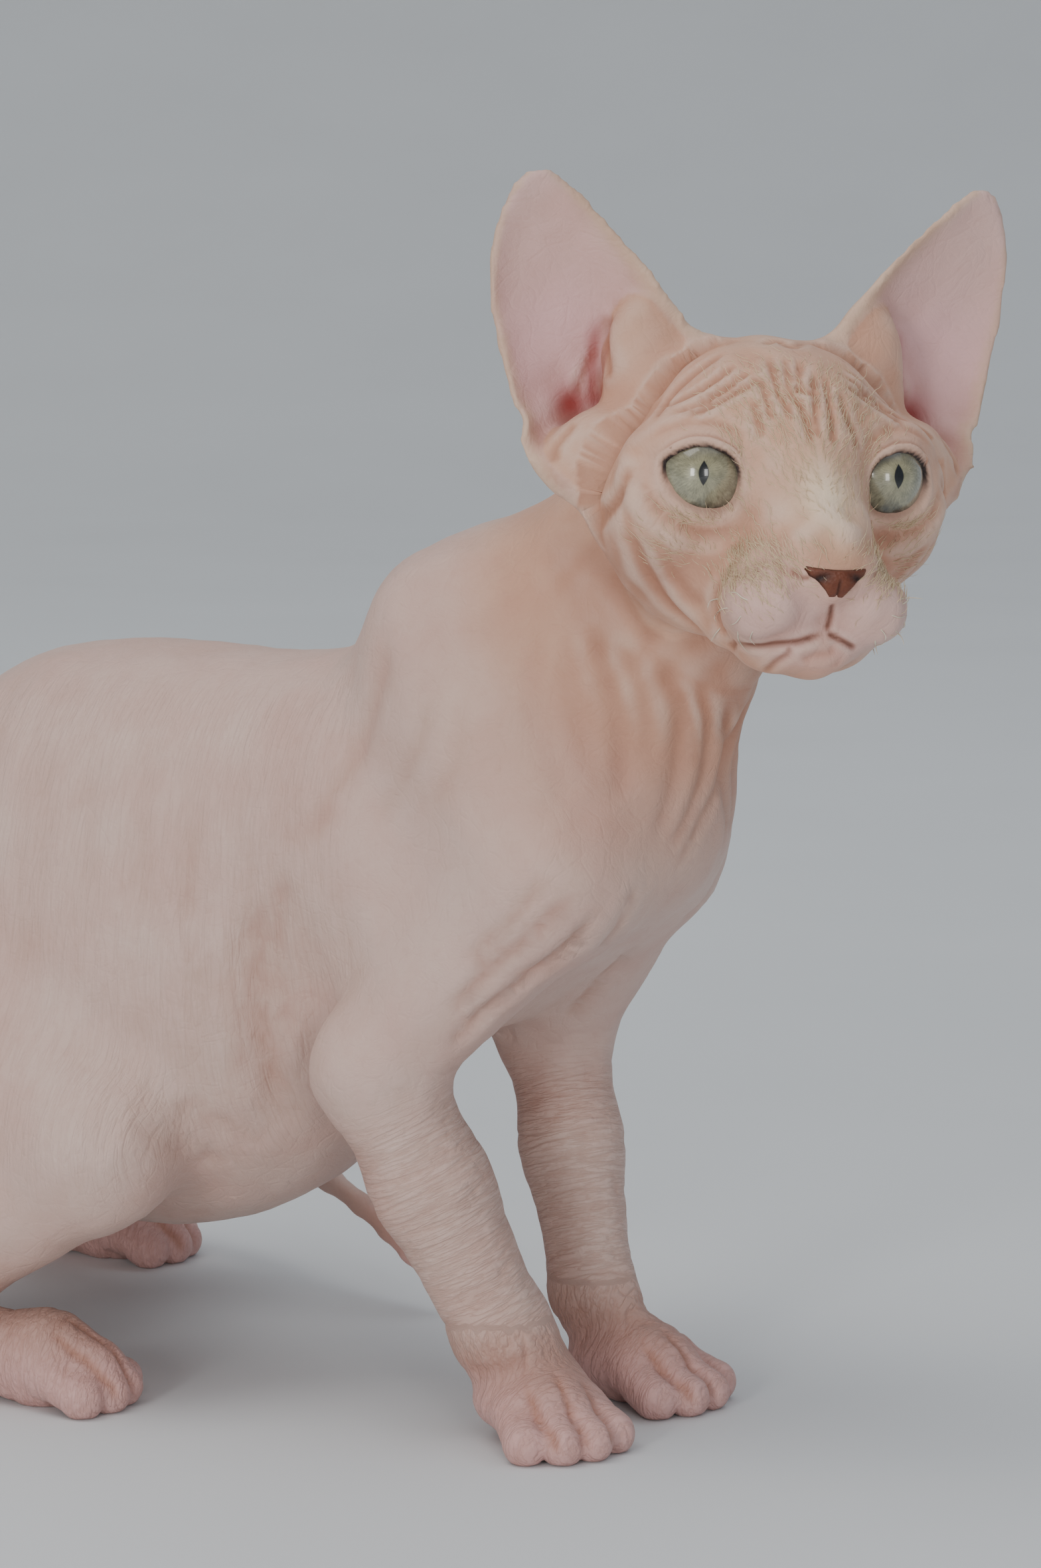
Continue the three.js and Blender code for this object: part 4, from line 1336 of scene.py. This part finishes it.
# Whiskers: short, crinkled and cream, points in the camera's frame thrown onto the skin
whiskers = {
    "thickness": 0.2,
    "lift": 2.2,
    "colour": (0.80, 0.70, 0.55, 1),
    "near": [
        [(1085, 901), (1070, 905), (1065, 917)],
        [(1087, 943), (1076, 957), (1070, 967)],
        [(1112, 950), (1112, 962), (1120, 975), (1129, 984)],
        [(1100, 915), (1086, 918), (1076, 930), (1080, 938)],
        [(1118, 925), (1108, 938), (1098, 942)],
        [(1130, 905), (1118, 900), (1108, 892), (1098, 893)],
        [(1135, 948), (1130, 962), (1138, 972)],
    ],
    "far": [
        [(1347, 948), (1358, 960), (1362, 972)],
        [(1318, 962), (1319, 975), (1322, 986)],
        [(1352, 903), (1372, 900), (1392, 902)],
        [(1340, 925), (1356, 930), (1368, 926)],
        [(1325, 945), (1334, 958), (1332, 968)],
    ],
}
down = {
    "count": 2300,
    "length": (2.0, 4.8),
    "thickness": 0.085,
    "curl": 0.28,
    "colour": (0.80, 0.62, 0.40, 1),
}


def strandMesh(name, lines, thickness):
    # each line becomes a thin three-sided spike that tapers to its end
    points, faces, marks = [], [], []
    for number, line in enumerate(lines):
        line = np.asarray(line)
        start = len(points)
        ahead = np.gradient(line, axis=0)
        ahead /= np.maximum(norm(ahead), 1e-6)[:, None]
        aside = np.cross(ahead, (0.3, 0.2, 0.93))
        aside /= np.maximum(norm(aside), 1e-6)[:, None]
        over = np.cross(ahead, aside)
        for i, at in enumerate(line[:-1]):
            r = thickness * (1 - 0.75 * i / (len(line) - 1))
            for turn in (0, 2.094, 4.189):
                points.append(at + r * (math.cos(turn) * aside[i] + math.sin(turn) * over[i]))
        points.append(line[-1])
        rings = len(line) - 1
        for i in range(rings - 1):
            for j in range(3):
                a, b = start + 3 * i + j, start + 3 * i + (j + 1) % 3
                faces.append((a, b, b + 3, a + 3))
        tip, last = start + 3 * rings, start + 3 * (rings - 1)
        faces += [(last + j, last + (j + 1) % 3, tip) for j in range(3)]
        faces.append((start + 2, start + 1, start))
        marks += [number] * (3 * rings + 1)
    mesh = bpy.data.meshes.new(name)
    mesh.from_pydata(toMetres(np.array(points)).tolist(), [], faces)
    made = bpy.data.objects.new(name, mesh)
    bpy.context.collection.objects.link(made)
    faceOutwards(made)
    # a small patch for each strand at its root's place on the head unrolled as a globe
    q = toHead(np.array(points))
    marks = np.array(marks)
    root = q[np.searchsorted(marks, marks)]
    turn = np.arctan2(root[:, 1], root[:, 0]) / (2 * math.pi) + 0.5
    rise = np.arctan2(root[:, 2], np.hypot(root[:, 0], root[:, 1])) / math.pi + 0.5
    patch = np.stack([turn, rise], axis=1) + (q - root)[:, 1:] * 0.0006
    corner = np.zeros(len(mesh.loops), np.int32)
    mesh.loops.foreach_get("vertex_index", corner)
    unwrap = mesh.uv_layers.new(name="OFBake")
    unwrap.data.foreach_set("uv", patch[corner].astype(np.float32).ravel())
    bpy.ops.object.shade_smooth()
    return made


def hairMaterial(name, colour):
    made, tree, shader = material(name)
    where = node(tree, "TexCoord").outputs["Object"]
    shades = node(tree, "TexNoise", {"Vector": where, "Scale": 300.0})
    darker = tuple(0.8 * c for c in colour[:3]) + (1,)
    tree.links.new(mix(tree, "MIX", shades.outputs[0], colour, darker), shader.inputs["Base Color"])
    shader.inputs["Roughness"].default_value = 0.45
    return made


def whiskerLine(pixels, tree):
    line, depth = [], None
    drawn = curveThrough(pixels, 9)
    for i, pixel in enumerate(drawn):
        direction = rayThrough(pixel)
        hit = tree.ray_cast(Vector(toMetres(eyeOfCamera)), Vector(direction))
        if hit[0] is not None:
            found = (toPlan(hit[0]) - eyeOfCamera) @ viewForward
            if depth is None or abs(found - depth) < 12:
                depth = found
        share = i / (len(drawn) - 1)
        lift = whiskers["lift"] * share - 0.4 * (1 - share)
        line.append(eyeOfCamera + direction * ((depth - lift) / (direction @ viewForward)))
    return np.array(line)


skinTree = BVHTree.FromObject(skin, bpy.context.evaluated_depsgraph_get())
lines = []
for side in ("near", "far"):
    for pixels in whiskers[side]:
        line = whiskerLine(pixels, skinTree)
        lines.append(line)
        if side == "near":
            lines.append(mirrorOnHead(line))
whiskerPiece = strandMesh("whiskers", lines, whiskers["thickness"])
whiskerPiece.data.materials.append(hairMaterial("creamHair", whiskers["colour"]))
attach(whiskerPiece, "root")

# Down: sparse fine hairs that lie back over the bridge, the brow and the cheeks
rng = np.random.default_rng(7)
p, n = toPlan(coordinates(skin)), normals(skin)
q = toHead(p)
qx, qy, qz = q.T
where = (
    0.9 * hump(qy, 9) * hump(qz - 7, 12) * (qx > 4)
    + 0.5 * hump(np.abs(qy) - 13, 6) * hump(qz + 17, 5) * (qx > 6)
    + 0.8 * hump(np.abs(qy) - 9, 6) * hump(qz - 13, 7) * (qx > 0)
    + 0.7 * hump(np.abs(qy) - 22, 6) * hump(qz + 13, 5) * (qx > 0)
)
where *= smooth(0.8, 2.0, rim) * (norm(q) < 45)
roots = rng.choice(len(p), size=down["count"], replace=False, p=where / where.sum())
lie = np.array([-0.55, 0, 0.85])  # back and up over the brow
strands = []
for i in roots:
    up = n[i] @ headTurn
    run = lie + (0, 0.5 * np.sign(q[i, 1]), 0) + rng.normal(0, 0.22, 3)
    run -= up * (run @ up)
    run /= np.linalg.norm(run)
    length = rng.uniform(*down["length"])
    steps = np.linspace(0, 1, 6)[:, None]
    aside = np.cross(run, up) * down["curl"] * np.sin(steps * rng.uniform(3, 8) + rng.uniform(0, 6))
    raised = up * (0.9 * steps - 0.55 * steps**2) * length * 0.35
    strands.append(fromHead(q[i] - 0.15 * up + length * steps * run + aside + raised))
downPiece = strandMesh("down", strands, down["thickness"])
downPiece.data.materials.append(hairMaterial("creamDown", down["colour"]))
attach(downPiece, "root")
print("hairs laid:", len(lines), "whiskers,", len(strands), "hairs of down")

# A pale floor that sweeps up far behind, soft daylight from high up and from two windows
stage = {
    "floor": (0.72, 0.73, 0.735, 1),
    # painted bluish shade on the floor and backdrop
    "floorBluishShade": (0.55, 0.60, 0.67, 1),
    "size": 16,
    "sweep": (2.0, 6.0, 4.0),  # where the floor begins to rise, where it ends, and how high
    "room": (0.56, 0.58, 0.60, 1),
    "roomLight": 1.22,
}
bpy.ops.mesh.primitive_grid_add(x_subdivisions=80, y_subdivisions=80, size=stage["size"])
floor = bpy.context.object
floor.name = floor.data.name = "floor"
g = coordinates(floor)
start, end, height = stage["sweep"]
g[:, 2] = height * np.clip((np.hypot(g[:, 0], g[:, 1]) - start) / (end - start), 0, 2) ** 2
putCoordinates(floor, g)
only(floor)
bpy.ops.object.shade_smooth()
paper, tree, shader = material("palePaper")
where = node(tree, "TexCoord").outputs["Object"]
cloth = node(tree, "TexNoise", {"Vector": where, "Scale": 7.0, "Detail": 2.0})
tone = ranged(tree, cloth.outputs[0], 0.3, 0.7, 0.97)
across = node(tree, "VectorMath", {0: where, 1: (0.8, 0.4, -0.5)}, operation="DOT_PRODUCT").outputs["Value"]
# painted bluish shade across the floor and backdrop towards the right of the view
colour = mix(tree, "MIX", ranged(tree, across, -0.5, 3.0), stage["floor"], stage["floorBluishShade"])
tree.links.new(mix(tree, "MULTIPLY", 1.0, colour, tone), shader.inputs["Base Color"])
shader.inputs["Roughness"].default_value = 0.8
floor.data.materials.append(paper)

world = bpy.data.worlds.new("room")
bpy.context.scene.world = world
world.use_nodes = True
air = world.node_tree.nodes["Background"]
air.inputs["Color"].default_value = stage["room"]
air.inputs["Strength"].default_value = stage["roomLight"]

lamps = {
    "skylight": ((-0.55, -0.75, 2.3), (1.3, 1.3), 15, (1.0, 0.98, 0.95)),
    "ceiling": ((0.4, 0.5, 2.4), (2.4, 2.4), 9, (0.95, 0.98, 1.0)),
    "windowLeft": ((0.18, -1.62, 0.42), (0.30, 0.62), 9, (1.0, 0.99, 0.97)),
    "windowRight": ((1.28, -1.20, 0.42), (0.30, 0.62), 5.5, (1.0, 0.99, 0.97)),
}
lampsLookAt = Vector((0.08, -0.02, 0.15))
for name, (at, size, power, colour) in lamps.items():
    light = bpy.data.objects.new(name, bpy.data.lights.new(name, "AREA"))
    bpy.context.collection.objects.link(light)
    light.data.shape = "RECTANGLE"
    light.data.size, light.data.size_y = size
    light.data.energy = power
    light.data.color = colour
    light.location = at
    light.rotation_euler = (lampsLookAt - Vector(at)).to_track_quat("-Z", "Y").to_euler()

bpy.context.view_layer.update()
for piece in (skin, leather, whiskerPiece, downPiece):
    print(piece.name, "has", sum(len(face.vertices) - 2 for face in piece.data.polygons), "triangles")
